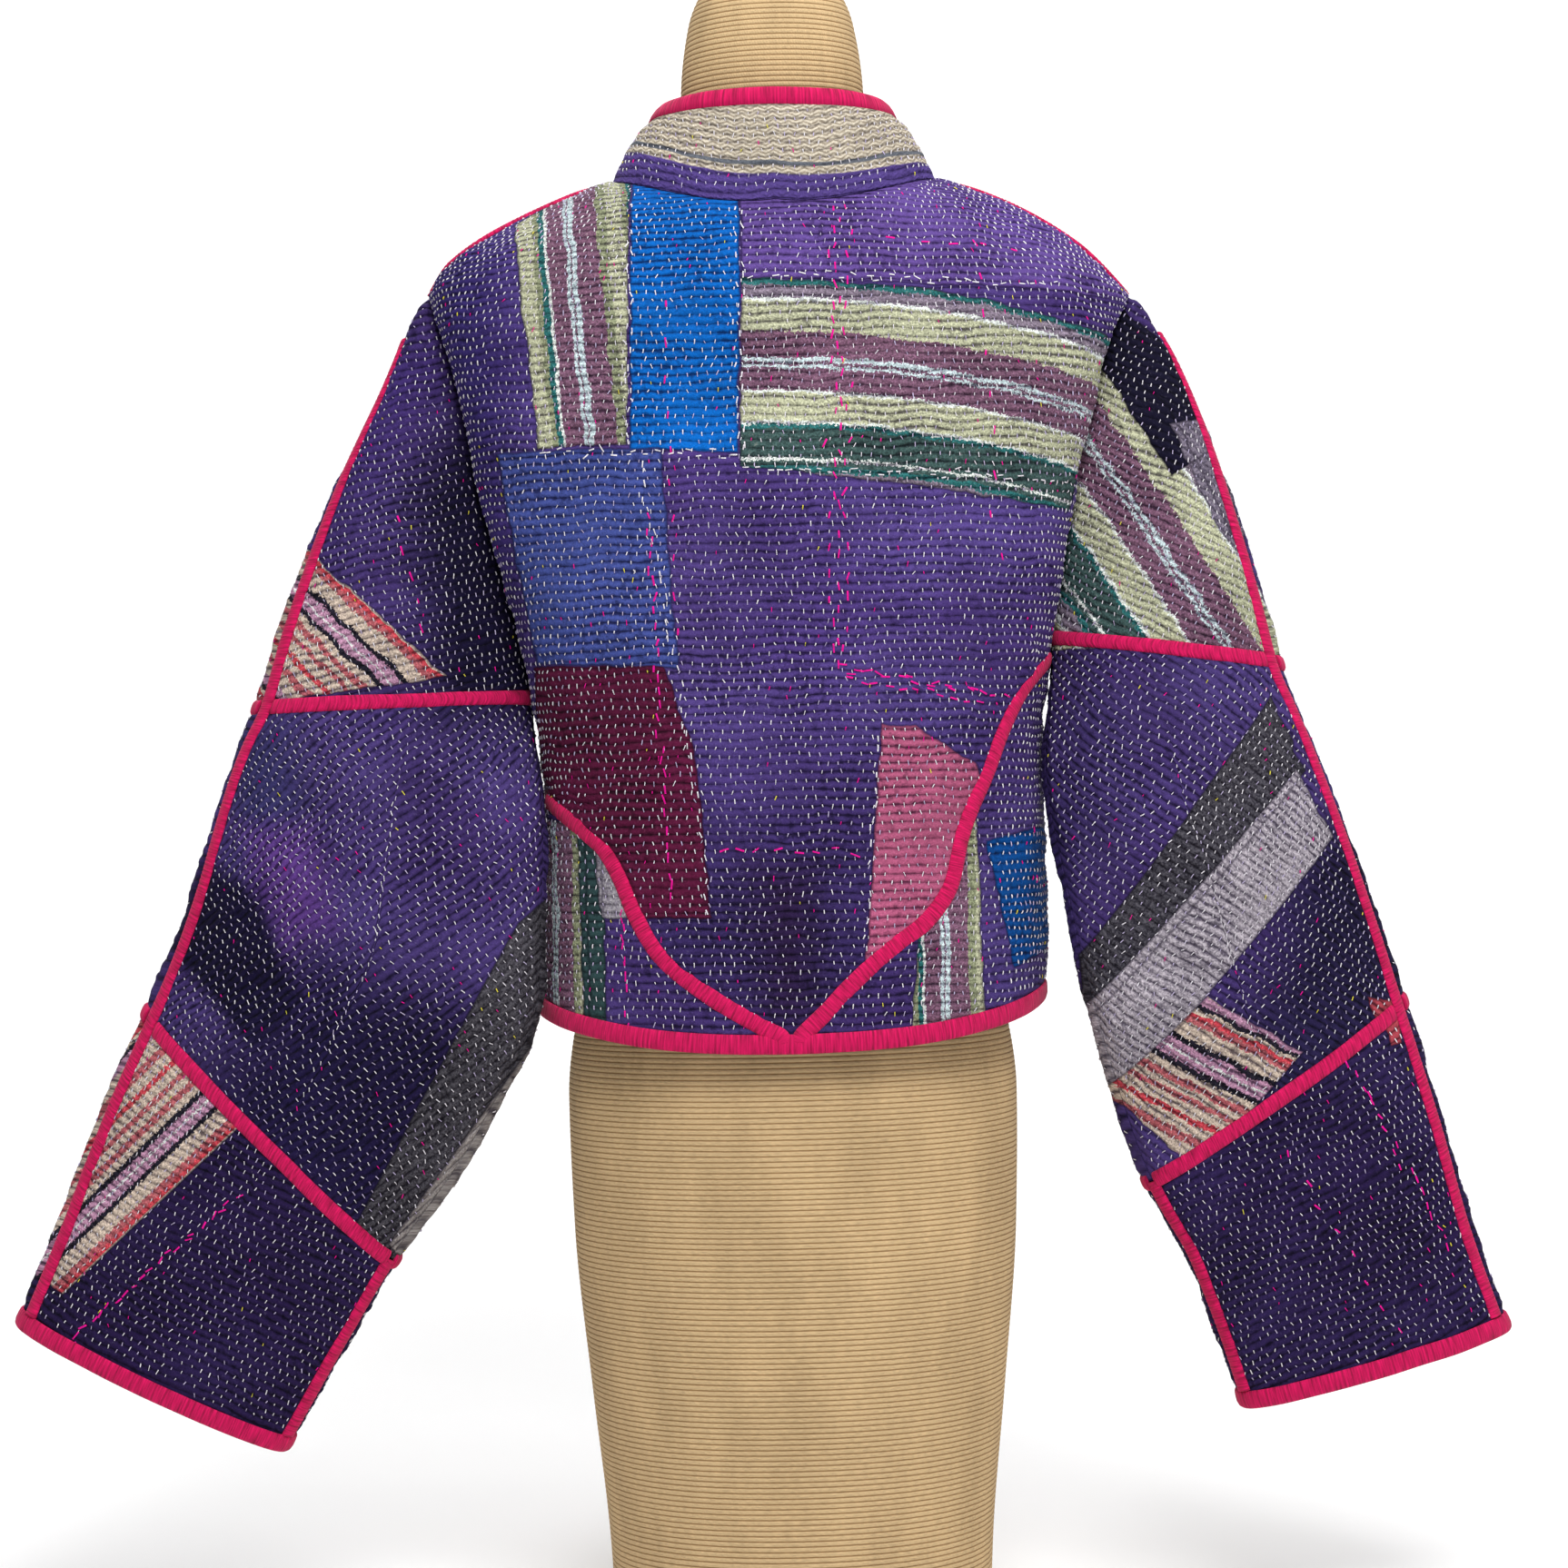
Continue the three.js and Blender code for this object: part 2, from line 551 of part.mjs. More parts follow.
function makeGeometry(positions, triangles) {
  let volume = 0;
  const corner = (i) => new THREE.Vector3(...positions[i]);
  for (const [a, b, c] of triangles) {
    volume += corner(a).dot(corner(b).cross(corner(c)));
  }
  const ordered = volume > 0 ? triangles : triangles.map(([a, b, c]) => [a, c, b]);
  const geometry = new THREE.BufferGeometry();
  geometry.setAttribute("position", new THREE.Float32BufferAttribute(positions.flat(), 3));
  geometry.setIndex(ordered.flat());
  return geometry;
}

// Triangles between two chains of points that start and end together; each chain
// is a list of { id, at } with at rising from 0 to 1.
function bridge(one, two) {
  const triangles = [];
  let i = 0;
  let j = 0;
  while (i < one.length - 1 || j < two.length - 1) {
    const stepOne = i < one.length - 1 ? one[i + 1].at : Infinity;
    const stepTwo = j < two.length - 1 ? two[j + 1].at : Infinity;
    if (stepOne <= stepTwo) {
      triangles.push([one[i].id, one[i + 1].id, two[j].id]);
      i += 1;
    } else {
      triangles.push([one[i].id, two[j + 1].id, two[j].id]);
      j += 1;
    }
  }
  return triangles;
}

// A quilted wall: ridged outside, plain inside on fewer rows, closed at its rims.
function makeWall(panel, grooved) {
  const grid = drawIn(panel);
  const rows = grid.length;
  const columns = grid[0].length;
  const positions = [];
  const outer = grid.map((line, r) => line.map((point, c) => {
    const normal = panel.normals[r][c];
    const below = grid[Math.max(r - 1, 0)][c];
    const above = grid[Math.min(r + 1, rows - 1)][c];
    const spacing = below.distanceTo(above) / 2;
    const sunk = grooved && panel.rowNumbers[r] % 2 === 1 && r > 0 && r < rows - 1;
    const groove = sunk ? Math.min(GROOVE, spacing * 0.25) : 0;
    const place = point.clone().addScaledVector(normal, WALL / 2 - groove);
    return positions.push(place.toArray()) - 1;
  }));
  const innerRows = [];
  panel.rowNumbers.forEach((number, r) => {
    const every = number >= panel.bendRow ? INNER_EVERY / 2 : INNER_EVERY;
    const kept = number % every === 0 || KEPT_ROWS.has(number);
    if (kept || r === 0 || r === rows - 1) {
      innerRows.push(r);
    }
  });
  const inner = innerRows.map((r) => grid[r].map((point, c) => {
    const place = point.clone().addScaledVector(panel.normals[r][c], -WALL / 2);
    return positions.push(place.toArray()) - 1;
  }));
  const triangles = [];
  const quads = (ids, sign) => {
    for (let r = 0; r < ids.length - 1; r += 1) {
      for (let c = 0; c < columns - 1; c += 1) {
        const [a, b, d, e] = [ids[r][c], ids[r][c + 1], ids[r + 1][c], ids[r + 1][c + 1]];
        if (sign > 0) {
          triangles.push([a, b, e], [a, e, d]);
        } else {
          triangles.push([a, e, b], [a, d, e]);
        }
      }
    }
  };
  quads(outer, 1);
  quads(inner, -1);
  for (let c = 0; c < columns - 1; c += 1) {
    const low = [outer[0][c], outer[0][c + 1], inner[0][c], inner[0][c + 1]];
    triangles.push([low[0], low[2], low[1]], [low[1], low[2], low[3]]);
    const high = [outer.at(-1)[c], outer.at(-1)[c + 1], inner.at(-1)[c], inner.at(-1)[c + 1]];
    triangles.push([high[0], high[1], high[2]], [high[1], high[3], high[2]]);
  }
  for (const c of [0, columns - 1]) {
    const one = outer.map((line, r) => ({ id: line[c], at: r / (rows - 1) }));
    const two = inner.map((line, i) => ({ id: line[c], at: innerRows[i] / (rows - 1) }));
    const side = bridge(one, two);
    triangles.push(...(c === 0 ? side : side.map(([a, b, d]) => [a, d, b])));
  }
  return makeGeometry(positions, triangles);
}

// ---------------------------------------------------------------- the group
const group = new THREE.Group();
const LOOKS = {
  quilt: { color: 0x46287c, roughness: 0.9 },
  collar: { color: 0xb9ab93, roughness: 0.9 },
  pink: { color: 0xd8175f, roughness: 0.7 },
  twine: { color: 0xc2a176, roughness: 0.95 },
};

function addMesh(name, geometry, look) {
  const material = new THREE.MeshStandardMaterial({ ...LOOKS[look], metalness: 0 });
  const mesh = new THREE.Mesh(geometry, material);
  mesh.name = name;
  group.add(mesh);
}

for (const panel of Object.values(panels)) {
  addMesh(panel.name, makeWall(panel, panel.look === "quilt"), panel.look);
}

// ---------------------------------------------------------------- tapes and bindings
// A strip through sections of equally many points, an even number, each going along
// one face and back along the other. It is capped at its ends or closed.
function makeStrip(sections, closed) {
  const sides = sections[0].length;
  const positions = sections.flat().map((point) => point.toArray());
  const triangles = [];
  const count = sections.length;
  for (let i = 0; i < (closed ? count : count - 1); i += 1) {
    for (let k = 0; k < sides; k += 1) {
      const [a, b] = [i * sides + k, i * sides + (k + 1) % sides];
      const [d, e] = [a, b].map((id) => (id + sides) % positions.length);
      triangles.push([a, b, e], [a, e, d]);
    }
  }
  if (!closed) {
    const end = (count - 1) * sides;
    for (let k = 0; k < sides / 2 - 1; k += 1) {
      const [a, b, d, e] = [k, k + 1, sides - 2 - k, sides - 1 - k];
      triangles.push([a, d, b], [a, e, d]);
      triangles.push([end + a, end + b, end + d], [end + a, end + d, end + e]);
    }
  }
  return makeGeometry(positions, triangles);
}

// Way across a seam into a panel: towards its next point, square to the seam.
function squareWay(from, to, seamWay) {
  const way = to.clone().sub(from);
  return way.addScaledVector(seamWay, -way.dot(seamWay)).normalize();
}

const seamWays = (stations, closed) => stations.map((_, i) => {
  const count = stations.length;
  const before = stations[closed ? (i + count - 1) % count : Math.max(i - 1, 0)];
  const after = stations[closed ? (i + 1) % count : Math.min(i + 1, count - 1)];
  return after.at.clone().sub(before.at).normalize();
});

// A tape over a seam. Each station has the seam's point and normal, and the next
// point of the panel on each side.
function addTape(name, stations, firstAlongRow = false) {
  const ways = seamWays(stations, false);
  const half = TAPE_WIDTH / 2;
  const sections = stations.map((station, i) => {
    const raised = (share, lift) => {
      const side = share < 0 ? station.one : station.two;
      const way = squareWay(station.at, side, ways[i]);
      if (i === 0 && firstAlongRow) {
        const row = side.clone().sub(station.at).normalize();
        way.copy(row.divideScalar(Math.max(0.55, row.dot(way))));
      }
      const flat = station.normal.clone()
        .addScaledVector(way, -station.normal.dot(way) / way.lengthSq()).normalize();
      const normal = share === 0 ? station.normal.clone() : flat.lerp(station.normal, 0.5);
      return station.at.clone()
        .addScaledVector(way, Math.abs(share) * half)
        .addScaledVector(normal, WALL / 2 + lift);
    };
    const top = TAPE_LIFT + TAPE_THICKNESS;
    return [raised(-1, TAPE_LIFT), raised(0, TAPE_LIFT), raised(1, TAPE_LIFT),
      raised(1, top - 0.4), raised(0, top), raised(-1, top - 0.4)];
  });
  addMesh(name, makeStrip(sections, false), "pink");
}

// A binding that goes on from a panel's edge. Each station has the edge's point and
// normal, and the panel's next point inwards.
function addBinding(name, stations, closed = false) {
  const ways = seamWays(stations, closed);
  const half = BINDING_THICKNESS / 2;
  const outline = [
    { out: BINDING_GAP, up: half * 0.85 }, { out: BINDING_WIDTH * 0.55, up: half },
    { out: BINDING_WIDTH, up: half * 0.5 }, { out: BINDING_WIDTH, up: -half * 0.5 },
    { out: BINDING_WIDTH * 0.55, up: -half }, { out: BINDING_GAP, up: -half * 0.85 },
  ];
  const sections = stations.map((station, i) => {
    const outward = squareWay(station.at, station.inside, ways[i]).negate();
    const normal = station.normal.clone().normalize();
    return outline.map(({ out, up }) => station.at.clone()
      .addScaledVector(outward, out).addScaledVector(normal, up));
  });
  addMesh(name, makeStrip(sections, closed), "pink");
}

const corner = (panel, r, c) => ({ at: panel.grid[r][c], normal: panel.normals[r][c] });
const lastOf = (list) => list.length - 1;

// Part of the way from one station to the next.
function between(one, two, f) {
  const station = {};
  for (const key of Object.keys(one)) {
    station[key] = one[key].clone().lerp(two[key], f);
  }
  return station;
}

// Take a length off a row of stations at its start and at its end.
function trimmed(stations, start, end = start) {
  const cut = (list, length) => {
    const span = list[0].at.distanceTo(list[1].at);
    return [between(list[0], list[1], Math.min(0.9, length / span)), ...list.slice(1)];
  };
  return cut(cut(stations, start).reverse(), end).reverse();
}

const everyNth = (list, n) => list.filter((_, i) => i % n === 0 || i === lastOf(list));

for (const side of SIDES) {
  const back = panels.back_panel;
  const front = panels[`front_panel_${side}`];
  const sidePanel = panels[`side_panel_${side}`];
  const isLeft = side === "left";
  const top = lastOf(bodyRows);

  // Shoulder: from the neck to the tip, over the ridge that back and front share.
  const shoulder = [3, 2, 1, 0].map((step) => {
    const backColumn = isLeft ? step : lastOf(back.grid[0]) - step;
    const frontColumn = isLeft ? lastOf(front.grid[0]) - step : step;
    return {
      ...corner(back, top, backColumn),
      one: back.grid[top - 1][backColumn],
      two: front.grid[top - 1][frontColumn],
    };
  });
  addTape(`shoulder_tape_${side}`, trimmed(shoulder, 2));

  // Curved seams, back and front.
  const seamRows = sidePanel.grid.map((_, r) => r).slice(0, -1);
  const edges = [
    { name: "back", panel: back, column: isLeft ? 0 : lastOf(back.grid[0]), sideEnd: isLeft },
    { name: "front", panel: front, column: isLeft ? lastOf(front.grid[0]) : 0, sideEnd: !isLeft },
  ];
  for (const edge of edges) {
    const inward = edge.column === 0 ? 1 : -1;
    const sideColumn = edge.sideEnd ? SIDE_COLUMNS : 0;
    const stations = seamRows.map((r) => ({
      ...corner(edge.panel, r, edge.column),
      one: edge.panel.grid[r][edge.column + inward],
      two: sidePanel.grid[r][edge.sideEnd ? sideColumn - 1 : sideColumn + 1],
    }));
    const ends = [CURVED_TAPE_START[edge.name], CURVED_TAPE_END];
    addTape(`curved_tape_${edge.name}_${side}`, trimmed(stations, ...ends), true);
  }

  // Sleeve: outer seam, underarm seam, cross seams and cuff.
  const piece = (part, face) => panels[`sleeve_${side}_${part}_${face}`];
  const columnAt = (face, s) => ((isLeft === (face === "back")) === (s === 0) ? 0 : SLEEVE_COLUMNS);
  const nextTo = (column) => (column === 0 ? 1 : SLEEVE_COLUMNS - 1);
  const seamStations = (part, s) => {
    const backColumn = columnAt("back", s);
    const frontColumn = columnAt("front", s);
    return piece(part, "back").grid.map((line, r) => ({
      ...corner(piece(part, "back"), r, backColumn),
      one: line[nextTo(backColumn)],
      two: piece(part, "front").grid[r][nextTo(frontColumn)],
    }));
  };
  const upper = seamStations("upper", 0);
  const outer = [
    ...everyNth(seamStations("lower", 0), 3),
    ...everyNth(seamStations("middle", 0), 4).slice(1),
    ...everyNth(upper.slice(0, Math.round(upper.length * 0.86)), 3).slice(1),
  ];
  addTape(`outer_sleeve_tape_${side}`, trimmed(outer, 1));
  const under = everyNth(seamStations("lower", 1), 3);
  addTape(`underarm_tape_${side}`, trimmed(under, 1, TAPE_MEETING));

  for (const face of ["back", "front"]) {
    for (const [above, below, name] of [["upper", "middle", "high"], ["middle", "lower", "low"]]) {
      const high = piece(above, face);
      const low = piece(below, face);
      const end = lastOf(low.grid);
      const stations = high.grid[0].map((_, c) => ({
        ...corner(high, 0, c),
        one: high.grid[1][c],
        two: low.grid[end - 1][c],
      }));
      addTape(`${name}_cross_tape_${side}_${face}`, trimmed(stations, TAPE_MEETING));
    }
  }
  const cuffEdge = (face) => piece("lower", face).grid[0].map((_, c) => ({
    ...corner(piece("lower", face), 0, c),
    inside: piece("lower", face).grid[1][c],
  }));
  addBinding(`cuff_binding_${side}`, [
    ...cuffEdge("back").slice(0, -1), ...cuffEdge("front").slice(0, -1),
  ], true);

  // Front edge: from the hem up the front and on up the collar.
  const edgeOf = (panel, column) => panel.grid.map((line, r) => ({
    ...corner(panel, r, column),
    inside: line[column === 0 ? 1 : column - 1],
  }));
  const collarEdge = edgeOf(panels.collar, isLeft ? 0 : lastOf(panels.collar.grid[0]));
  const frontEdge = edgeOf(front, isLeft ? 0 : lastOf(front.grid[0]));
  const flatRows = frontEdge.filter((_, r) => r % 3 === 0 && bodyRows[r] < DROP_ROWS - 1);
  const roofRows = frontEdge.filter((_, r) => bodyRows[r] >= DROP_ROWS - 1);
  const run = [...flatRows, ...roofRows.slice(0, -1), ...everyNth(collarEdge, 2)];
  const past = (near, far) => between(far, near, 1 + BINDING_WIDTH / near.at.distanceTo(far.at));
  addBinding(`front_binding_${side}`, [
    past(run[0], run[1]), ...run, past(run.at(-1), run.at(-2)),
  ]);
}

const bottomOf = (panel) => panel.grid[0].map((_, c) => ({
  ...corner(panel, 0, c),
  inside: panel.grid[1][c],
}));
const hem = ["front_panel_left", "side_panel_left", "back_panel", "side_panel_right", "front_panel_right"]
  .flatMap((name, i) => bottomOf(panels[name]).slice(i === 0 ? 0 : 1));
addBinding("hem_binding", trimmed(hem, 1));
const collarTop = panels.collar.grid.at(-1).map((_, c) => ({
  ...corner(panels.collar, COLLAR_ROWS, c),
  inside: panels.collar.grid[COLLAR_ROWS - 1][c],
}));
addBinding("collar_binding", trimmed(collarTop, BINDING_WIDTH / 2));

// ---------------------------------------------------------------- dress form
function makeForm() {
  const positions = [[0, 0, 0]];
  for (const ring of FORM) {
    for (let i = 0; i < FORM_SIDES; i += 1) {
      const turn = i / FORM_SIDES * 2 * Math.PI;
      positions.push([ring.wide * power(Math.cos(turn), 0.92),
        ring.y + ring.deep * power(Math.sin(turn), 0.92), ring.z]);
    }
  }
  positions.push([0, 0, FORM_TOP]);
  const triangles = [];
  const apex = positions.length - 1;
  const lastRing = apex - FORM_SIDES;
  for (let i = 0; i < FORM_SIDES; i += 1) {
    const next = (i + 1) % FORM_SIDES;
    triangles.push([0, 1 + next, 1 + i], [apex, lastRing + i, lastRing + next]);
    for (let r = 0; r < FORM.length - 1; r += 1) {
      const low = 1 + r * FORM_SIDES;
      const high = low + FORM_SIDES;
      triangles.push([low + i, low + next, high + next], [low + i, high + next, high + i]);
    }
  }
  return makeGeometry(positions, triangles);
}
addMesh("dress_form", makeForm(), "twine");

export default group;
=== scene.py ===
"""A cropped kantha-quilt jacket with a stand collar and wide pieced sleeves, on a
twine-wound dress form. Sizes are in millimetres here, and in metres in Blender."""

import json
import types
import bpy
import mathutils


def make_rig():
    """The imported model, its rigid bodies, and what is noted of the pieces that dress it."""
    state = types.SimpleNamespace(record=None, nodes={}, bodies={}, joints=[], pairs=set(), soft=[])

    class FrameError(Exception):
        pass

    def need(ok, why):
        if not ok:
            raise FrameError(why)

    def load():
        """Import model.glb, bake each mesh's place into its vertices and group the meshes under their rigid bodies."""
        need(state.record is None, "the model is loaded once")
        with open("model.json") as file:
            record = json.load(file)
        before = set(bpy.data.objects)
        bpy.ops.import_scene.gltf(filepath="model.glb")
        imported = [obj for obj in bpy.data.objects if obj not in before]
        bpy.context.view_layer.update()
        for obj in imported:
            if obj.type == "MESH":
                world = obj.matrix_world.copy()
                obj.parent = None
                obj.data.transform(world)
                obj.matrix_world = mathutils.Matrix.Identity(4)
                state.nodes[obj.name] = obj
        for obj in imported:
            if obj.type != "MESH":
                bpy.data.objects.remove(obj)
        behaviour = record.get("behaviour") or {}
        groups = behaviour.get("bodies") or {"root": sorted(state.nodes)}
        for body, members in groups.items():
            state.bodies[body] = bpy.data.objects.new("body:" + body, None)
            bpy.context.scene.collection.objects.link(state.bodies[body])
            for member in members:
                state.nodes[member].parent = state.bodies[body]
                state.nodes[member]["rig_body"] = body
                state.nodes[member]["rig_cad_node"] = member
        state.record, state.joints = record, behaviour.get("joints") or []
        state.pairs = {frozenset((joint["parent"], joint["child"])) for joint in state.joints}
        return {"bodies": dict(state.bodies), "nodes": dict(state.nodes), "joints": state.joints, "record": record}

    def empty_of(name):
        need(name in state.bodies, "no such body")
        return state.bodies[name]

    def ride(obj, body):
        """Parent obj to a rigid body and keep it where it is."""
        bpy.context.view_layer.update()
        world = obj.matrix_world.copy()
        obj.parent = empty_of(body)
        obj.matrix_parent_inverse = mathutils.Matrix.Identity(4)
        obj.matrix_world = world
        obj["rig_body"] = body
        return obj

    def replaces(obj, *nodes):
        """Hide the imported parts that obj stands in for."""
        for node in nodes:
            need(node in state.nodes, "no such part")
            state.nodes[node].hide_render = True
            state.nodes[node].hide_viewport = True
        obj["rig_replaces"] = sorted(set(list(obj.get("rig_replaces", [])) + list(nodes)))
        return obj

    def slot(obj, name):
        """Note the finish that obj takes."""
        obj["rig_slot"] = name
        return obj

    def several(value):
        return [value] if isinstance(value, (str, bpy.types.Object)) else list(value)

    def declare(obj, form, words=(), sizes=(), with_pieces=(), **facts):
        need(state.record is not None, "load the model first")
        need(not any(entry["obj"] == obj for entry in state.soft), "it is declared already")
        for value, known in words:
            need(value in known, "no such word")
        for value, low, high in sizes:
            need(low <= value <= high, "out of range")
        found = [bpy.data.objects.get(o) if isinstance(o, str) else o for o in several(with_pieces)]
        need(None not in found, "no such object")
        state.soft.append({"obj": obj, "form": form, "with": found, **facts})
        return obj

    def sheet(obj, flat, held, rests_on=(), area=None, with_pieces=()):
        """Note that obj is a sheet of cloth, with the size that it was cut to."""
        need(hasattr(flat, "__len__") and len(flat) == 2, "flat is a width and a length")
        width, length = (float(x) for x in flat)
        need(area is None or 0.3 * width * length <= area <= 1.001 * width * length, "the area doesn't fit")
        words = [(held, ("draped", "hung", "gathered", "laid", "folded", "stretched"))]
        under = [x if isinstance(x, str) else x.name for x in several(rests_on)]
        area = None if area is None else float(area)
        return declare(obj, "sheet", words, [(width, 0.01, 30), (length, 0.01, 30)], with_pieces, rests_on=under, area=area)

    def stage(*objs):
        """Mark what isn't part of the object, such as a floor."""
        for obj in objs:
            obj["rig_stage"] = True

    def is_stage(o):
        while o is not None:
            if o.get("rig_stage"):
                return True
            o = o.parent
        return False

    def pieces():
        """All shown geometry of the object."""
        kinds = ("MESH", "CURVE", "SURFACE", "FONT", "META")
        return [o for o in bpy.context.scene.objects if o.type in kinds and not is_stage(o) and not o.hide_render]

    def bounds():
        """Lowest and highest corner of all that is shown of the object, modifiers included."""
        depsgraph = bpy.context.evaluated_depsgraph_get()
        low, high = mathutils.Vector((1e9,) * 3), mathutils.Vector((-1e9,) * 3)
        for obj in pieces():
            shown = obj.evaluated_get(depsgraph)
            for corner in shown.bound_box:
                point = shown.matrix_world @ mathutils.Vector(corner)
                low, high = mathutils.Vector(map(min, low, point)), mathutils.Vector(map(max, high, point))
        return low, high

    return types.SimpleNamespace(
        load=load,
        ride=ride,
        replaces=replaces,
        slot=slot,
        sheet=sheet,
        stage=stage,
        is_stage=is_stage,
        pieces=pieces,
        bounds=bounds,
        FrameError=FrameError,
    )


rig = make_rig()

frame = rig.load()
CAD_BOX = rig.bounds()

import json
import math

import bpy
import numpy as np

bl_info = {
    "name": "Kantha Jacket on a Dress Form",
    "version": (1, 0, 0),
    "blender": (4, 5, 0),
    "location": "View3D > Sidebar > Kantha Jacket",
    "description": "Quilted patchwork jacket with pink tapes on a twine-wound dress form",
    "category": "Object",
}

MM = 0.001
ROOT = "root"  # the part's only body
SIDES = ("left", "right")
FACES = {"back": 1, "front": -1}  # which way each face looks along y
SIGN = {"left": 1, "right": -1}  # which way each side lies along x

# ------------------------------------------------------------ sizes of the pattern, mm
# Heights on the body go up in rows, from the hem at the side seams. Past DROP_ROWS the
# rows turn over the shoulder, up to the ridge or the neckline.
ROW_STEP = 10
HEM_Q, ROOF_Q = 385, 775
ROOF_ROWS = 10
DROP_ROWS = round((ROOF_Q - HEM_Q) / ROW_STEP)
TOP_ROW = DROP_ROWS + ROOF_ROWS
BACK_DIP, DIP_FADE = 24, 120  # the hem's middle hangs lower, which fades upwards
NECK_HALF_WIDTH = 100
NECK_DEPTH = {1: 72, -1: 88}
SEAM_BACK, SEAM_BACK_FADE = 18, 35  # the shoulder seam lies behind the middle plane
SEAM_BACK_FULL = 1 / 1.5
SECTION_POWER, SLEEVE_POWER = 2.4, 2.2  # 2 is an ellipse, and more is squarer
FRONT_OPENING = {"hem": 8, "neck": 2}  # half the gap between the front edges
UNDERARM_ROW = {"left": 19, "right": 22}
SEAM_TOP_ROW = {"left": 13, "right": 21}
SIDE_PANEL_GAP = 0.12  # rows from the side panel's top to the seams' top
FRONT_SEAM_REACH = 0.72  # the curved seam's reach on the front, as a share of the back's
SEAM_ANGLE = math.radians(27)  # where the outer sleeve seam lies round the section
UNDERARM_ANGLE = math.radians(14)  # the underarm seam's turn from the inner edge
UNDERARM_START, UNDERARM_SPAN = 1.2, 0.8  # where it turns, in pieces along the sleeve
ARMHOLE_LIMIT = 0.75  # of the sleeve's depth, where it meets the body
BINDING_WIDTH = 9
TAPE_REACH = 5  # from a seam to its tape's edge
COLLAR_HEIGHT, COLLAR_BULGE = 60, 3

# The body's half width at heights z, and its depth behind and before the middle plane.
HALF_WIDTH = {
    "left": dict(z=(361, 440, 513, 577, 640, 701, 774, 803, 822),
                 x=(157, 151, 148, 154, 167, 182, 197, 206, 213)),
    "right": dict(z=(361, 440, 540, 605, 672, 705, 754, 783, 814),
                  x=(153, 157, 156, 164, 174, 180, 192, 200, 216)),
}
DEPTH = dict(z=(361, 450, 560, 680, 775),
             back=(124, 118, 113, 110, 100), front=(120, 116, 116, 118, 100))
# How far the armhole's edge opens (y) at a share (f) of its height.
ARMHOLE_OFF = dict(f=(0, 0.12, 0.3, 0.55, 0.8, 0.93, 1), y=(0, 11, 21, 25, 21, 11, 0))
# The shoulder's ridge: its height z at a distance x from the middle.
RIDGE = {
    "left": dict(x=(0, 100, 156, 198, 213), z=(907, 889, 868, 843, 822)),
    "right": dict(x=(0, 100, 139, 183, 216), z=(907, 887, 873, 847, 814)),
}
# The curved seam of the back: its distance x from the middle at a height q.
CURVED_SEAM = {
    "left": dict(q=(394, 402, 412, 434, 453, 470, 485, 495, 515),
                 x=(5, 22, 43, 77, 90, 98, 108, 121, 149)),
    "right": dict(q=(394, 406, 421, 436, 447, 465, 488, 524, 548, 570, 595),
                  x=(5, 20, 38, 61, 80, 95, 102, 119, 129, 141, 164)),
}
# The sleeve's outer seam (ox, oy, oz) and half its depth, at t along it: 0 at the
# shoulder's tip, 1 and 2 at the cross tapes, 3 at the cuff.
SLEEVE_T = (0, 0.2, 0.5, 0.8, 1, 1.05, 1.12, 1.25, 1.5, 1.75, 2, 2.33, 2.67, 3)
SLEEVE_Y = (0, 3, 8, 11, 12, 12, 13, 16, 20, 20, 20, 20, 20, 20)
SLEEVE = {
    "left": dict(
        t=SLEEVE_T, oy=SLEEVE_Y,
        ox=(220, 238, 275, 306, 324, 327, 332, 340, 355, 372, 393, 421, 448, 478),
        oz=(817, 773, 700, 626, 572, 564, 551, 527, 480, 434, 389, 329, 262, 194),
        depth=(4, 24, 36, 39, 40, 40, 40, 38, 36, 36, 36, 35, 33, 32)),
    "right": dict(
        t=SLEEVE_T, oy=SLEEVE_Y,
        ox=(223, 245, 272, 293, 304, 307, 312, 322, 341, 357, 373, 393, 411, 435),
        oz=(809, 769, 700, 630, 586, 575, 559, 530, 475, 428, 380, 311, 243, 173),
        depth=(4, 24, 36, 39, 40, 40, 39, 38, 36, 36, 36, 35, 33, 32)),
}
# The sleeve's inner edge (ix, iy, iz), from the armhole's foot at t = 1.
UNDERARM_EDGE = {
    "left": dict(t=SLEEVE_T[4:],
                 ix=(154, 155, 151, 146, 147, 185, 242, 268, 292, 312),
                 iy=(0, 8, 29, 58, 78, 64, 40, 36, 33, 30),
                 iz=(575, 560, 537, 493, 404, 316, 236, 195, 156, 122)),
    "right": dict(t=SLEEVE_T[4:],
                  ix=(164, 165, 161, 156, 166, 184, 212, 236, 254, 270),
                  iy=(0, 8, 29, 50, 66, 60, 42, 38, 34, 30),
                  iz=(605, 590, 567, 524, 446, 360, 274, 230, 184, 134)),
}
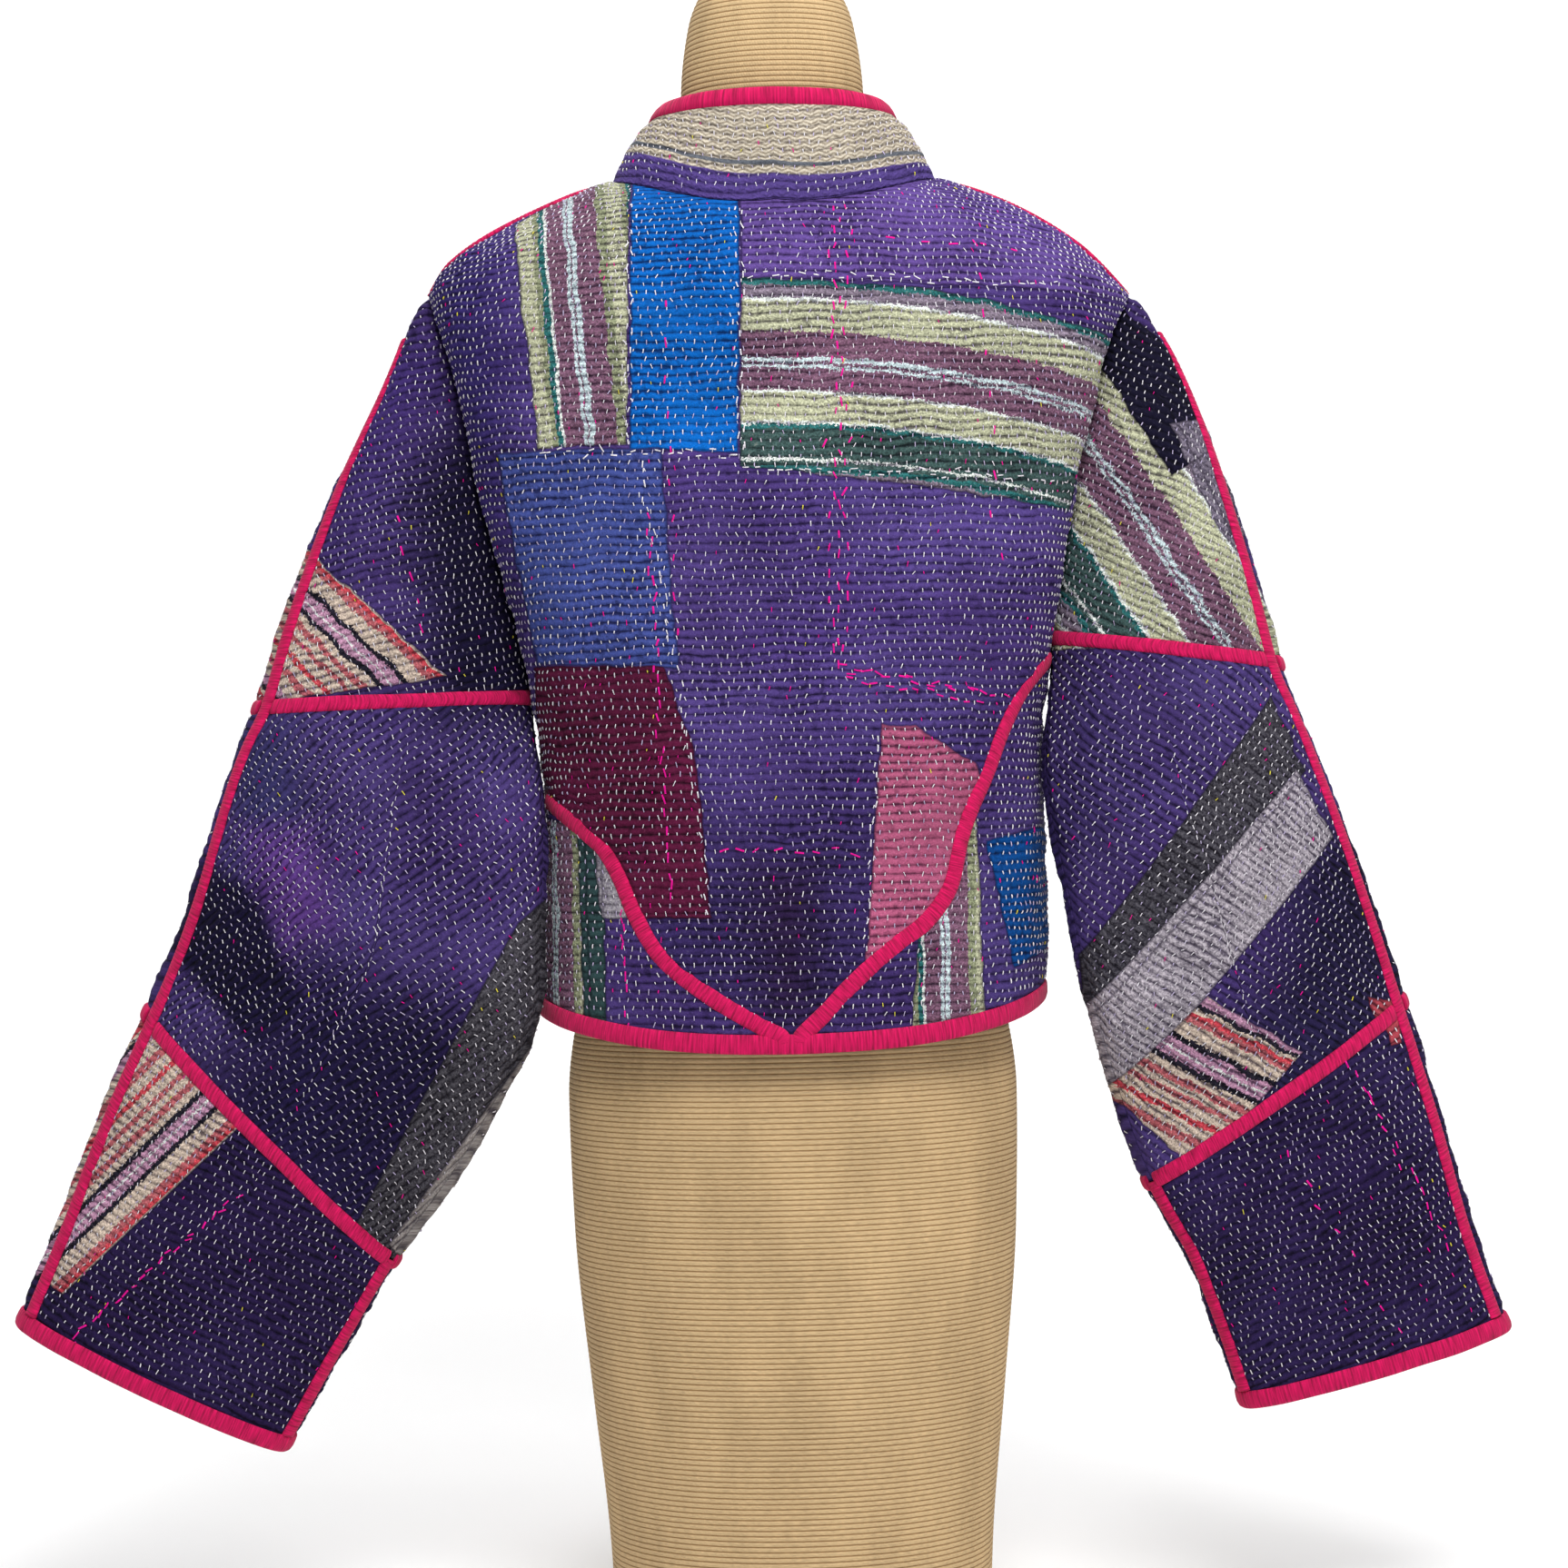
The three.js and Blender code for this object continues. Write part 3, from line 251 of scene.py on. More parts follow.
# Soft folds of the body: face, from (x1, z1) to (x2, z2), width and depth. The first
# six are in the solids too; the others are lesser creases.
FOLDS = (
    (1, -6, 500, -2, 372, 16, -6), (1, 95, 660, 70, 500, 34, 6),
    (1, 48, 640, 40, 500, 24, -4), (1, -95, 640, -62, 470, 30, 4),
    (-1, 70, 640, 62, 430, 30, 6), (-1, -74, 620, -66, 420, 30, 6),
    (1, -20, 470, -16, 380, 6, 2.0), (1, 8, 480, 10, 380, 6, 2.2),
    (1, 150, 700, 80, 520, 13, -2.4), (1, -150, 690, -100, 560, 14, -2.2),
    (1, 120, 600, 60, 470, 10, -1.6), (1, -135, 780, -60, 650, 16, -1.4),
    (1, 30, 850, 60, 700, 12, -1.2), (-1, 40, 520, 24, 400, 9, -2.4),
    (-1, -42, 560, -30, 420, 10, -2.2), (-1, 130, 700, 90, 520, 14, -2.4),
    (-1, -140, 700, -96, 540, 14, -2.6), (-1, 90, 820, 40, 700, 14, -1.6),
)
# Sleeve creases: side, face, from (x1, z1) to (x2, z2), width and depth.
SLEEVE_FOLDS = (
    ("left", 1, 246, 664, 212, 628, 13, -5), ("left", 1, 262, 640, 200, 600, 20, 2.5),
    ("left", 1, 190, 560, 330, 505, 22, -3.5), ("left", 1, 168, 520, 318, 455, 16, 2.6),
    ("left", 1, 160, 470, 300, 380, 20, -3.0), ("left", 1, 200, 430, 330, 340, 15, 2.2),
    ("left", 1, 240, 320, 380, 270, 18, -2.6), ("left", 1, 280, 270, 430, 240, 15, 2.0),
    ("right", 1, -196, 690, -262, 620, 18, -3.0), ("right", 1, -180, 540, -290, 500, 18, -3.0),
    ("right", 1, -176, 500, -300, 440, 16, 2.4), ("right", 1, -190, 420, -330, 370, 18, -2.6),
    ("right", 1, -230, 300, -380, 300, 16, -2.4), ("right", 1, -260, 240, -400, 220, 14, 2.0),
    ("left", -1, 180, 560, 320, 520, 22, -3.2), ("left", -1, 180, 440, 330, 380, 18, -2.8),
    ("left", -1, 270, 300, 400, 260, 16, -2.2), ("right", -1, -176, 540, -290, 520, 20, -3.0),
    ("right", -1, -200, 440, -330, 400, 18, -2.6), ("right", -1, -260, 280, -380, 260, 16, -2.2),
)
# The dress form's half width, half depth and middle y, at heights z.
FORM = dict(
    z=(0, 60, 150, 250, 330, 410, 480, 540, 610, 680, 735, 780, 808, 828, 846, 862, 878, 900,
       950, 985, 1003, 1013),
    wide=(115, 118, 127, 136, 138, 126, 112, 112, 124, 140, 156, 172, 176, 160, 132, 98, 72,
          58, 56, 51, 44, 32),
    deep=(95, 97, 102, 106, 106, 98, 88, 88, 96, 100, 94, 84, 74, 66, 60, 54, 51, 50, 50, 47,
          41, 30),
    y=(0, 0, 0, 0, 0, -1, -2, -2, -4, -6, -4, 0, 2, 3, 3, 2, 0, 0, 0, 0, 0, 0))
FORM_TOP = 1018
FORM_POWER = 0.92
COVERED = (405, 888)  # heights between which the jacket hides the form
TWINE_PITCH, TWINE_HEIGHT = 3.2, 0.55
# The collar's top edge: its half width and depths, and its height behind, at the sides
# and in front.
COLLAR_TOP = dict(wide=70, back=61, front=64, back_z=936, side_z=933, front_z=893)

# How the meshes are divided. Each body panel has its rough width in mm and how much
# wider than high its faces are, and each sleeve piece its length and width in mm.
PANEL_MESH = {"back": (268, 1.25), "front": (258, 1.35), "side": (250, 1.3),
              "collar": (250, 1.3)}
SLEEVE_MESH = {"upper": (268, 190), "middle": (300, 270), "lower": (225, 215)}
ROOF_LENGTH = 118
INSIDE_STEP = 6  # the plain inside keeps every sixth line of the outside


# ------------------------------------------------------------ properties
class QuiltSizes(bpy.types.PropertyGroup):
    """Sizes of the quilted cloth."""
    wall: bpy.props.FloatProperty(
        name="Cloth thickness", description="Thickness of the quilt", default=2.5 * MM,
        unit="LENGTH", subtype="DISTANCE")
    row_pitch: bpy.props.FloatProperty(
        name="Row pitch", description="From one row of stitches to the next",
        default=5.0 * MM, unit="LENGTH", subtype="DISTANCE")
    stitch_pitch: bpy.props.FloatProperty(
        name="Stitch pitch", description="From one stitch to the next in a row",
        default=5.9 * MM, unit="LENGTH", subtype="DISTANCE")
    puff: bpy.props.FloatProperty(
        name="Puff", description="Height of the ripple between two rows",
        default=1.35 * MM, unit="LENGTH", subtype="DISTANCE")
    grid: bpy.props.FloatProperty(
        name="Grid", description="Size of the cloth's mesh faces", default=1.9 * MM,
        unit="LENGTH", subtype="DISTANCE")


class QuiltColours(bpy.types.PropertyGroup):
    """Colours of the cloth, tapes and thread."""
    purple: bpy.props.FloatVectorProperty(
        name="Purple", description="Main cloth", subtype="COLOR", size=3,
        default=(0.072, 0.044, 0.190))
    deep_purple: bpy.props.FloatVectorProperty(
        name="Deep purple", description="Darker cloth of the lower sleeves",
        subtype="COLOR", size=3, default=(0.020, 0.011, 0.058))
    tape: bpy.props.FloatVectorProperty(
        name="Tape", description="Seam tapes and bindings", subtype="COLOR", size=3,
        default=(0.52, 0.003, 0.080))
    thread: bpy.props.FloatVectorProperty(
        name="Thread", description="Quilting thread", subtype="COLOR", size=3,
        default=(0.70, 0.67, 0.72))
    accent: bpy.props.FloatVectorProperty(
        name="Accent thread", description="Magenta running stitches", subtype="COLOR",
        size=3, default=(0.70, 0.004, 0.26))
    twine: bpy.props.FloatVectorProperty(
        name="Twine", description="Jute twine round the dress form", subtype="COLOR",
        size=3, default=(0.52, 0.37, 0.20))


# ------------------------------------------------------------ curves and noise
def curve(table, key, column):
    """A smooth value of a table's column at a key, with no overshoot between rows."""
    xs = np.array(table[key], float)
    ys = np.array(table[column], float)
    slopes = np.diff(ys) / np.diff(xs)
    tangents = np.zeros(len(xs))
    tangents[0], tangents[-1] = slopes[0], slopes[-1]
    both = slopes[:-1] * slopes[1:] > 0
    total = np.where(both, slopes[:-1] + slopes[1:], 1.0)
    tangents[1:-1] = np.where(both, 2 * slopes[:-1] * slopes[1:] / total, 0.0)

    def value(at):
        at = np.clip(np.asarray(at, float), xs[0], xs[-1])
        i = np.clip(np.searchsorted(xs, at, side="left") - 1, 0, len(xs) - 2)
        step = xs[i + 1] - xs[i]
        f = (at - xs[i]) / step
        g = 1 - f
        return (ys[i] * (1 + 2 * f) * g * g + tangents[i] * step * f * g * g
                + ys[i + 1] * f * f * (3 - 2 * f) - tangents[i + 1] * step * f * f * g)

    return value


half_width = {side: curve(HALF_WIDTH[side], "z", "x") for side in SIDES}
ridge_height = {side: curve(RIDGE[side], "x", "z") for side in SIDES}
seam_distance = {side: curve(CURVED_SEAM[side], "q", "x") for side in SIDES}
body_depth = {1: curve(DEPTH, "z", "back"), -1: curve(DEPTH, "z", "front")}
armhole_curve = curve(ARMHOLE_OFF, "f", "y")
sleeve_edge = {side: {c: curve(SLEEVE[side], "t", c) for c in ("ox", "oy", "oz", "depth")}
               for side in SIDES}
underarm_edge = {side: {c: curve(UNDERARM_EDGE[side], "t", c) for c in ("ix", "iy", "iz")}
                 for side in SIDES}


def mix(a, b, f):
    return a + (b - a) * f


def power(value, exponent):
    """A power that keeps the sign, for sections squarer than an ellipse."""
    return np.sign(value) * np.abs(value) ** exponent


def smooth(value, low, high):
    """0 up to low and 1 from high on, with an even bend between."""
    f = np.clip((value - low) / (high - low), 0, 1)
    return f * f * (3 - 2 * f)


def noise(x, y, seed):
    """Smooth random values from -1 to 1 over a plane, the same every time."""
    size = 128
    table = np.random.default_rng(seed).random((size, size)) * 2 - 1
    xi, yi = np.floor(x).astype(int), np.floor(y).astype(int)
    fx, fy = x - xi, y - yi
    fx, fy = fx * fx * (3 - 2 * fx), fy * fy * (3 - 2 * fy)
    at = lambda i, j: table[(xi + i) % size, (yi + j) % size]
    return mix(mix(at(0, 0), at(1, 0), fx), mix(at(0, 1), at(1, 1), fx), fy)


# ------------------------------------------------------------ the jacket's surface, mm
def tip_width(side):
    """From the middle to the shoulder's tip."""
    return HALF_WIDTH[side]["x"][-1]


def angle_of_share(share):
    """The angle at which the body's section reaches a share of its half width."""
    return np.arccos(np.minimum(1, share) ** (SECTION_POWER / 2))


def armhole_off(side, z):
    """How far the body's side edge opens at the armhole, at a height."""
    low = HEM_Q + UNDERARM_ROW[side] * ROW_STEP
    tip = HALF_WIDTH[side]["z"][-1]
    return armhole_curve((z - low) / (tip - low))


def crease_depth(folds, x, z):
    """Depth of soft folds along lines, each fading towards its ends."""
    depth = np.zeros_like(x)
    for x1, z1, x2, z2, wide, deep in folds:
        dx, dz = x2 - x1, z2 - z1
        long = math.hypot(dx, dz)
        f = ((x - x1) * dx + (z - z1) * dz) / long ** 2
        off = ((x - x1) * dz - (z - z1) * dx) / long
        # The fold is deepest 0.714 of the way along.
        late = np.where(f * 1.4 > 1, 0.5 + (f - 0.714) * 1.75, f * 0.7)
        swell = np.where((f > 0) & (f < 1), np.sin(np.pi * np.minimum(1, late)), 0)
        depth += deep * swell * np.exp(-((off / wide) ** 2))
    return depth


def body_point(side, face, angle, row):
    """Points of the body at an angle (0 the side line, a quarter turn the centre) and
    a row."""
    angle, row = np.broadcast_arrays(np.asarray(angle, float), np.asarray(row, float))
    share = np.maximum(0, np.cos(angle)) ** (2 / SECTION_POWER)
    swell = np.maximum(0, np.sin(angle)) ** (2 / SECTION_POWER)
    q = HEM_Q + np.minimum(row, DROP_ROWS) * ROW_STEP
    dip_fade = np.maximum(0, 1 - (q - HEM_Q) / DIP_FADE)
    z = q - BACK_DIP * swell * swell * dip_fade
    edge = armhole_off(side, z)
    y = edge + (body_depth[face](z) - edge) * swell
    top_x = tip_width(side) * share
    rise = ridge_height[side](top_x) - ROOF_Q
    neck_share = np.minimum(1, top_x / NECK_HALF_WIDTH)
    neck_y = NECK_DEPTH[face] * np.sqrt(1 - neck_share ** 2)
    roof_depth, back_depth = (mix(armhole_off(side, ROOF_Q), body_depth[f](ROOF_Q), swell)
                              for f in (face, 1))
    behind = (SEAM_BACK * smooth(top_x, NECK_HALF_WIDTH, NECK_HALF_WIDTH + SEAM_BACK_FADE)
              * smooth(swell, 0, SEAM_BACK_FULL))
    seam = np.arccos(behind / back_depth)
    last = np.where(neck_y > 0, np.arccos(np.minimum(1, neck_y / roof_depth)),
                    seam if face > 0 else np.pi - seam)
    turn = last * np.maximum(0, row - DROP_ROWS) / ROOF_ROWS
    over = row > DROP_ROWS
    z = np.where(over, ROOF_Q + rise * np.sin(turn), z)
    y = np.where(over, np.where(turn > np.pi / 2, back_depth, roof_depth) * np.cos(turn), y)
    x = SIGN[side] * half_width[side](z) * share
    folds = crease_depth([f[1:] for f in FOLDS if f[0] == face], x, z)
    return np.stack([x, face * (y + swell * folds), z], -1)


def seam_angle(side, row):
    """Where the curved seam between the back and side panels lies."""
    q = HEM_Q + np.asarray(row, float) * ROW_STEP
    angle = angle_of_share(seam_distance[side](q) / half_width[side](q))
    return np.where(row >= SEAM_TOP_ROW[side], 0.0, angle)


def front_edge_angle(side, row):
    """Where a front panel's cloth ends, inside its binding."""
    half = mix(FRONT_OPENING["hem"], FRONT_OPENING["neck"], row / TOP_ROW) + BINDING_WIDTH
    q = HEM_Q + np.minimum(row, DROP_ROWS) * ROW_STEP
    width = np.where(row > DROP_ROWS, tip_width(side), half_width[side](q))
    return angle_of_share(half / width)


def unit(v):
    return v / np.maximum(np.linalg.norm(v, axis=-1, keepdims=True), 1e-9)


def sleeve_point(side, face, t, s):
    """Points of a sleeve: t along it, s from the outer seam (0) to the inner edge (1)."""
    t, s = np.broadcast_arrays(np.asarray(t, float), np.asarray(s, float))
    sign = SIGN[side]
    at = {c: f(t) for c, f in {**sleeve_edge[side], **underarm_edge[side]}.items()}
    outer = np.stack([sign * at["ox"], at["oy"], at["oz"]], -1)
    upper = t <= 1
    row = mix(TOP_ROW, UNDERARM_ROW[side], np.minimum(t, 1))
    edge = body_point(side, face, np.zeros_like(row), row)
    inner = np.stack([sign * at["ix"], at["iy"], at["iz"]], -1)
    inner = np.where(upper[..., None], edge * [1, 0, 1], inner)
    closing = np.pi - UNDERARM_ANGLE * np.clip((t - UNDERARM_START) / UNDERARM_SPAN, 0, 1)
    reach = np.minimum(ARMHOLE_LIMIT, np.abs(edge[..., 1]) / at["depth"])
    arm = np.pi - np.arcsin(reach)
    last = np.where(upper, face * arm, closing if face > 0 else closing - 2 * np.pi)
    chord = outer - inner
    long = np.linalg.norm(chord, axis=-1)
    half = (long / np.where(upper, 1 - np.cos(arm), 2))[..., None]
    ahead = unit(chord)
    centre = outer - ahead * half
    across = unit(np.array([0, 1, 0]) - ahead * ahead[..., 1:2])

    def place(share):
        angle = mix(SEAM_ANGLE, last, share)[..., None]
        return (centre + ahead * half * power(np.cos(angle), 2 / SLEEVE_POWER)
                + across * at["depth"][..., None] * power(np.sin(angle), 2 / SLEEVE_POWER))

    pull = (edge - place(np.ones_like(s))) * (s * s)[..., None]
    point = place(s) + np.where(upper[..., None], pull, 0)
    folds = crease_depth([f[2:] for f in SLEEVE_FOLDS if f[:2] == (side, face)],
                         point[..., 0], point[..., 2])
    return point + across * (face * folds * np.sin(np.pi * s) ** 0.5)[..., None]


# ------------------------------------------------------------ panels as fine grids
class Panel:
    """A grid of points in mm, rows upward and columns anticlockwise seen from above,
    with flat cloth coordinates a (along the quilting rows) and b (across them)."""

    def __init__(self, name, points, a, b):
        self.name, self.points, self.a, self.b = name, points, a, b
        self.outer = None  # the outside's points, once the cloth is made
        up = np.gradient(points, axis=0)
        self.normals = unit(np.cross(np.gradient(points, axis=1), up))


def running_length(points, axis):
    """Length walked along an axis of a grid of points, from its start to each point."""
    step = np.linalg.norm(np.diff(points, axis=axis), axis=-1)
    zero = np.zeros_like(np.take(step, [0], axis=axis))
    return np.concatenate([zero, np.cumsum(step, axis=axis)], axis=axis)


def mesh_columns(panel, grid):
    """How many lines of points a panel has along the hem."""
    width, stretch = PANEL_MESH[panel]
    return round(width / grid / stretch)


def body_rows(grid, top=TOP_ROW):
    """Rows of a body panel's mesh, from above the hem binding to a top row."""
    drop = np.arange(BINDING_WIDTH / ROW_STEP, min(top, DROP_ROWS), grid / ROW_STEP)
    if top <= DROP_ROWS:
        return np.append(drop[:-1], top)
    roof = np.linspace(DROP_ROWS, TOP_ROW, round(ROOF_LENGTH / grid) + 1)
    return np.append(drop[:-1], roof)


def flat_body(points, rows, centre_column):
    """Flat coordinates of a body panel: along the rows, and up the cloth."""
    a = running_length(points, 1)
    a = a - a[:, centre_column:centre_column + 1]
    up = running_length(points, 0)
    level = rows <= DROP_ROWS
    start = np.argmax(~level) - 1 if (~level).any() else len(rows) - 1
    b = np.where(level[:, None], points[..., 2],
                 points[start, :, 2][None] + up - up[start][None])
    return a, b


def back_panel(grid):
    """The back, from one curved seam to the other."""
    rows = body_rows(grid)
    halves = {}
    for side in SIDES:
        f = np.linspace(0, 1, mesh_columns("back", grid))[None]
        near = seam_angle(side, rows)[:, None]
        halves[side] = body_point(side, 1, mix(near, np.pi / 2, f), rows[:, None])
    points = np.concatenate([halves["left"], halves["right"][:, ::-1][:, 1:]], 1)
    return Panel("back_panel", points, *flat_body(points, rows, halves["left"].shape[1] - 1))


def front_panel(side, grid):
    """A front, from the curved seam to the open front edge."""
    rows = body_rows(grid)
    near = FRONT_SEAM_REACH * seam_angle(side, rows)[:, None]
    far = front_edge_angle(side, rows)[:, None]
    f = np.linspace(0, 1, mesh_columns("front", grid))[None]
    points = body_point(side, -1, mix(near, far, f), rows[:, None])
    if side == "left":
        points = points[:, ::-1]
    centre = 0 if side == "left" else points.shape[1] - 1
    return Panel(f"front_panel_{side}", points, *flat_body(points, rows, centre))


def side_panel(side, grid):
    """The pointed panel under the arm, between the front's and the back's seams."""
    top = SEAM_TOP_ROW[side] - SIDE_PANEL_GAP
    rows = body_rows(grid, top)
    toward = seam_angle(side, rows)[:, None]
    f = np.linspace(0, 1, mesh_columns("side", grid))[None]
    angle = mix(-FRONT_SEAM_REACH * toward, toward, f)
    rows_all = np.broadcast_to(rows[:, None], angle.shape)
    back = body_point(side, 1, np.abs(angle), rows_all)
    front = body_point(side, -1, np.abs(angle), rows_all)
    points = np.where((angle >= 0)[..., None], back, front)
    if side == "right":
        points = points[:, ::-1]
    return Panel(f"side_panel_{side}", points,
                 *flat_body(points, rows, points.shape[1] // 2))


# Where each sleeve piece starts and ends, in t along the sleeve.
SLEEVE_PARTS = {"upper": (0, 1), "middle": (1, 2), "lower": (2, 3)}
# How the quilting rows lie on each sleeve piece, in degrees from level.
ROW_SLANT = {("left", "upper"): -12, ("left", "middle"): -34, ("left", "lower"): 24,
             ("right", "upper"): 22, ("right", "middle"): 33, ("right", "lower"): -22}


def sleeve_panel(side, part, face_name, grid):
    """One face of a sleeve piece, from the outer seam to the inner edge."""
    face = FACES[face_name]
    top, bottom = SLEEVE_PARTS[part]
    if part == "lower":
        outer_height = sleeve_edge[side]["oz"]
        bottom -= 1.5 * BINDING_WIDTH / (outer_height(top) - outer_height(bottom))
    length, width = SLEEVE_MESH[part]
    t = np.linspace(bottom, top, round(length / grid))[:, None]
    s = np.linspace(0, 1, round(width / grid))[None]
    if (side == "left") != (face > 0):
        s = s[:, ::-1]
    points = sleeve_point(side, face, t, s)
    if part == "upper":
        points[-1] = mix(points[-1], points[-2], 0.3)  # clear of the shoulder's tip
    # Unroll the flattened tube: x spreads by the depth lost round its edges.
    x, y = points[..., 0], points[..., 1]
    crest = y.max(1, keepdims=True) if face > 0 else y.min(1, keepdims=True)
    x = x + 0.7 * np.sign(x - x.mean(1, keepdims=True)) * np.abs(crest - y)
    slant = math.radians(ROW_SLANT[side, part])
    a = x * math.cos(slant) + points[..., 2] * math.sin(slant)
    b = points[..., 2] * math.cos(slant) - x * math.sin(slant)
    return Panel(f"sleeve_{side}_{part}_{face_name}", points, a, b)


def collar_panel(grid):
    """The stand collar, from the left front round the back to the right front."""
    half = []
    for side in SIDES:
        first = (FRONT_OPENING["neck"] + BINDING_WIDTH) / NECK_HALF_WIDTH
        turn = np.linspace(-np.arccos(first), np.pi / 2, mesh_columns("collar", grid))
        face = np.where(turn < 0, -1, 1)
        angle = angle_of_share(NECK_HALF_WIDTH * np.cos(turn) / tip_width(side))
        back = body_point(side, 1, angle, np.full_like(turn, TOP_ROW))
        front = body_point(side, -1, angle, np.full_like(turn, TOP_ROW))
        base = np.where((face > 0)[:, None], back, front)
        half.append((base, turn))
    base = np.concatenate([half[0][0], half[1][0][::-1][1:]])
    turn = np.concatenate([half[0][1], half[1][1][::-1][1:]])
    up = np.sin(turn)
    top_y = up * np.where(up > 0, COLLAR_TOP["back"], COLLAR_TOP["front"])
    top_z = mix(COLLAR_TOP["side_z"],
                np.where(up > 0, COLLAR_TOP["back_z"], COLLAR_TOP["front_z"]), up * up)
    edge = np.where(up > 0, 0, np.sign(base[:, 0]) * (FRONT_OPENING["neck"] + BINDING_WIDTH))
    narrowing = (COLLAR_TOP["wide"] - np.abs(edge)) / (NECK_HALF_WIDTH - np.abs(edge))
    top = np.stack([edge + (base[:, 0] - edge) * narrowing, top_y, top_z], -1)
    share = np.linspace(0, 1 - BINDING_WIDTH / COLLAR_HEIGHT,
                        round(COLLAR_HEIGHT / grid))[:, None, None]
    points = mix(base[None], top[None], share)
    points[..., 2] += COLLAR_BULGE * np.sin(np.pi * share[..., 0])
    a = running_length(points, 1)
    return Panel("collar", points, a - a[:, a.shape[1] // 2][:, None], running_length(points, 0))


# ------------------------------------------------------------ quilting relief
BORDER_CALM = (2, 9)  # mm from a panel's border
BORDER_SINK = 0.35


def stitch_phases(a, b, sizes):
    """Row number and stitch number (before the brick offset) as real numbers."""
    wave = 1.4 * noise(a / 21, b / 27, 3) + 0.55 * noise(a / 7, b / 9, 4)
    rows = (b + wave) / (sizes.row_pitch / MM)
    along = (a + 0.9 * noise(a / 16, b / 12, 5)) / (sizes.stitch_pitch / MM)
    return rows, along


def brick_offset(row):
    """How far along the cloth a row's stitches are moved, in stitches."""
    return 0.5 * (row % 2) + 0.13 * np.sin(2.3 * row)


def border_distance(points):
    """Rough distance in mm from each point to the panel's own border."""
    up, on = running_length(points, 0), running_length(points, 1)
    return np.minimum(np.minimum(up, up[-1:] - up), np.minimum(on, on[:, -1:] - on))


def quilt_height(panel, sizes):
    """Height in mm of the rippled outside over the flat wall. It rises between the rows,
    is pinched at each stitch, and calms down and sinks along the panel's border."""
    a, b, puff = panel.a, panel.b, sizes.puff / MM
    rows, along = stitch_phases(a, b, sizes)
    ridge = np.abs(np.sin(np.pi * rows)) ** 0.85
    pinch = 0.5 + 0.5 * np.cos(2 * np.pi * (along + brick_offset(np.round(rows))))
    blister = noise(a / 5.2, b / 3.0, 7)
    uneven = 0.8 + 0.45 * noise(a / 34, b / 30, 8)
    height = puff * uneven * (ridge * (0.8 + 0.45 * blister) + 0.6 * (1 - ridge) * (1 - pinch))
    height = height + 0.9 * noise(a / 26, b / 13, 9) + 0.5 * noise(a / 11, b / 7, 10)
    calm = smooth(border_distance(panel.points), *BORDER_CALM)
    return height * calm - BORDER_SINK * (1 - calm)


# ------------------------------------------------------------ mesh building
def new_object(name, vertices_mm, faces, material, slot):
    """A mesh object from vertices in mm and a list of face index arrays, with one
    material or a list of them."""
    mesh = bpy.data.meshes.new(name)
    vertices = np.asarray(vertices_mm, np.float32) * MM
    mesh.vertices.add(len(vertices))
    mesh.vertices.foreach_set("co", vertices.ravel())
    sizes = np.concatenate([np.full(len(f), f.shape[1]) for f in faces])
    corners = np.concatenate([f.ravel() for f in faces])
    mesh.loops.add(len(corners))
    mesh.loops.foreach_set("vertex_index", corners.astype(np.int32))
    mesh.polygons.add(len(sizes))
    starts = np.concatenate([[0], np.cumsum(sizes)[:-1]])
    mesh.polygons.foreach_set("loop_start", starts.astype(np.int32))
    mesh.polygons.foreach_set("use_smooth", np.full(len(sizes), True))
    mesh.update(calc_edges=True)
    if mesh.validate():
        raise RuntimeError(f"{name} has broken faces")
    for each in material if isinstance(material, (list, tuple)) else [material]:
        mesh.materials.append(each)
    obj = bpy.data.objects.new(name, mesh)
    bpy.context.scene.collection.objects.link(obj)
    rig.ride(obj, ROOT)
    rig.slot(obj, slot)
    return obj


def add_uv(obj, per_vertex, name="cloth"):
    """A UV layer from one place for each vertex."""
    layer = obj.data.uv_layers.new(name=name)
    index = np.empty(len(obj.data.loops), np.int32)
    obj.data.loops.foreach_get("vertex_index", index)
    layer.data.foreach_set("uv", np.asarray(per_vertex, np.float32)[index].ravel())


def grid_faces(ids, flipped=False):
    """Four-sided faces between a grid's neighbouring points."""
    a, b, d, e = ids[:-1, :-1], ids[:-1, 1:], ids[1:, 1:], ids[1:, :-1]
    quads = np.stack([a, b, d, e], -1).reshape(-1, 4)
    return quads[:, ::-1] if flipped else quads


def thinned(count, step):
    """Every step-th number below count, and the last."""
    return np.unique(np.append(np.arange(0, count - 1, step), count - 1))


def rim_faces(outer_line, inner_line, kept, flipped):
    """Triangles that close a wall between a border's fine and coarse lines."""
    faces = []
    for k in range(len(kept) - 1):
        low, high = kept[k], kept[k + 1]
        halfway = (low + high + 1) // 2
        faces += [(outer_line[i], outer_line[i + 1], inner_line[k]) for i in range(low, halfway)]
        faces.append((outer_line[halfway], inner_line[k + 1], inner_line[k]))
        faces += [(outer_line[i], outer_line[i + 1], inner_line[k + 1])
                  for i in range(halfway, high)]
    faces = np.array(faces)
    return faces[:, ::-1] if flipped else faces


EDGE_GAP = 0.4  # mm that a panel's edge keeps from its seam
OUTSIDE_SINK = 0.5  # mm that the ripple starts below the wall's outside


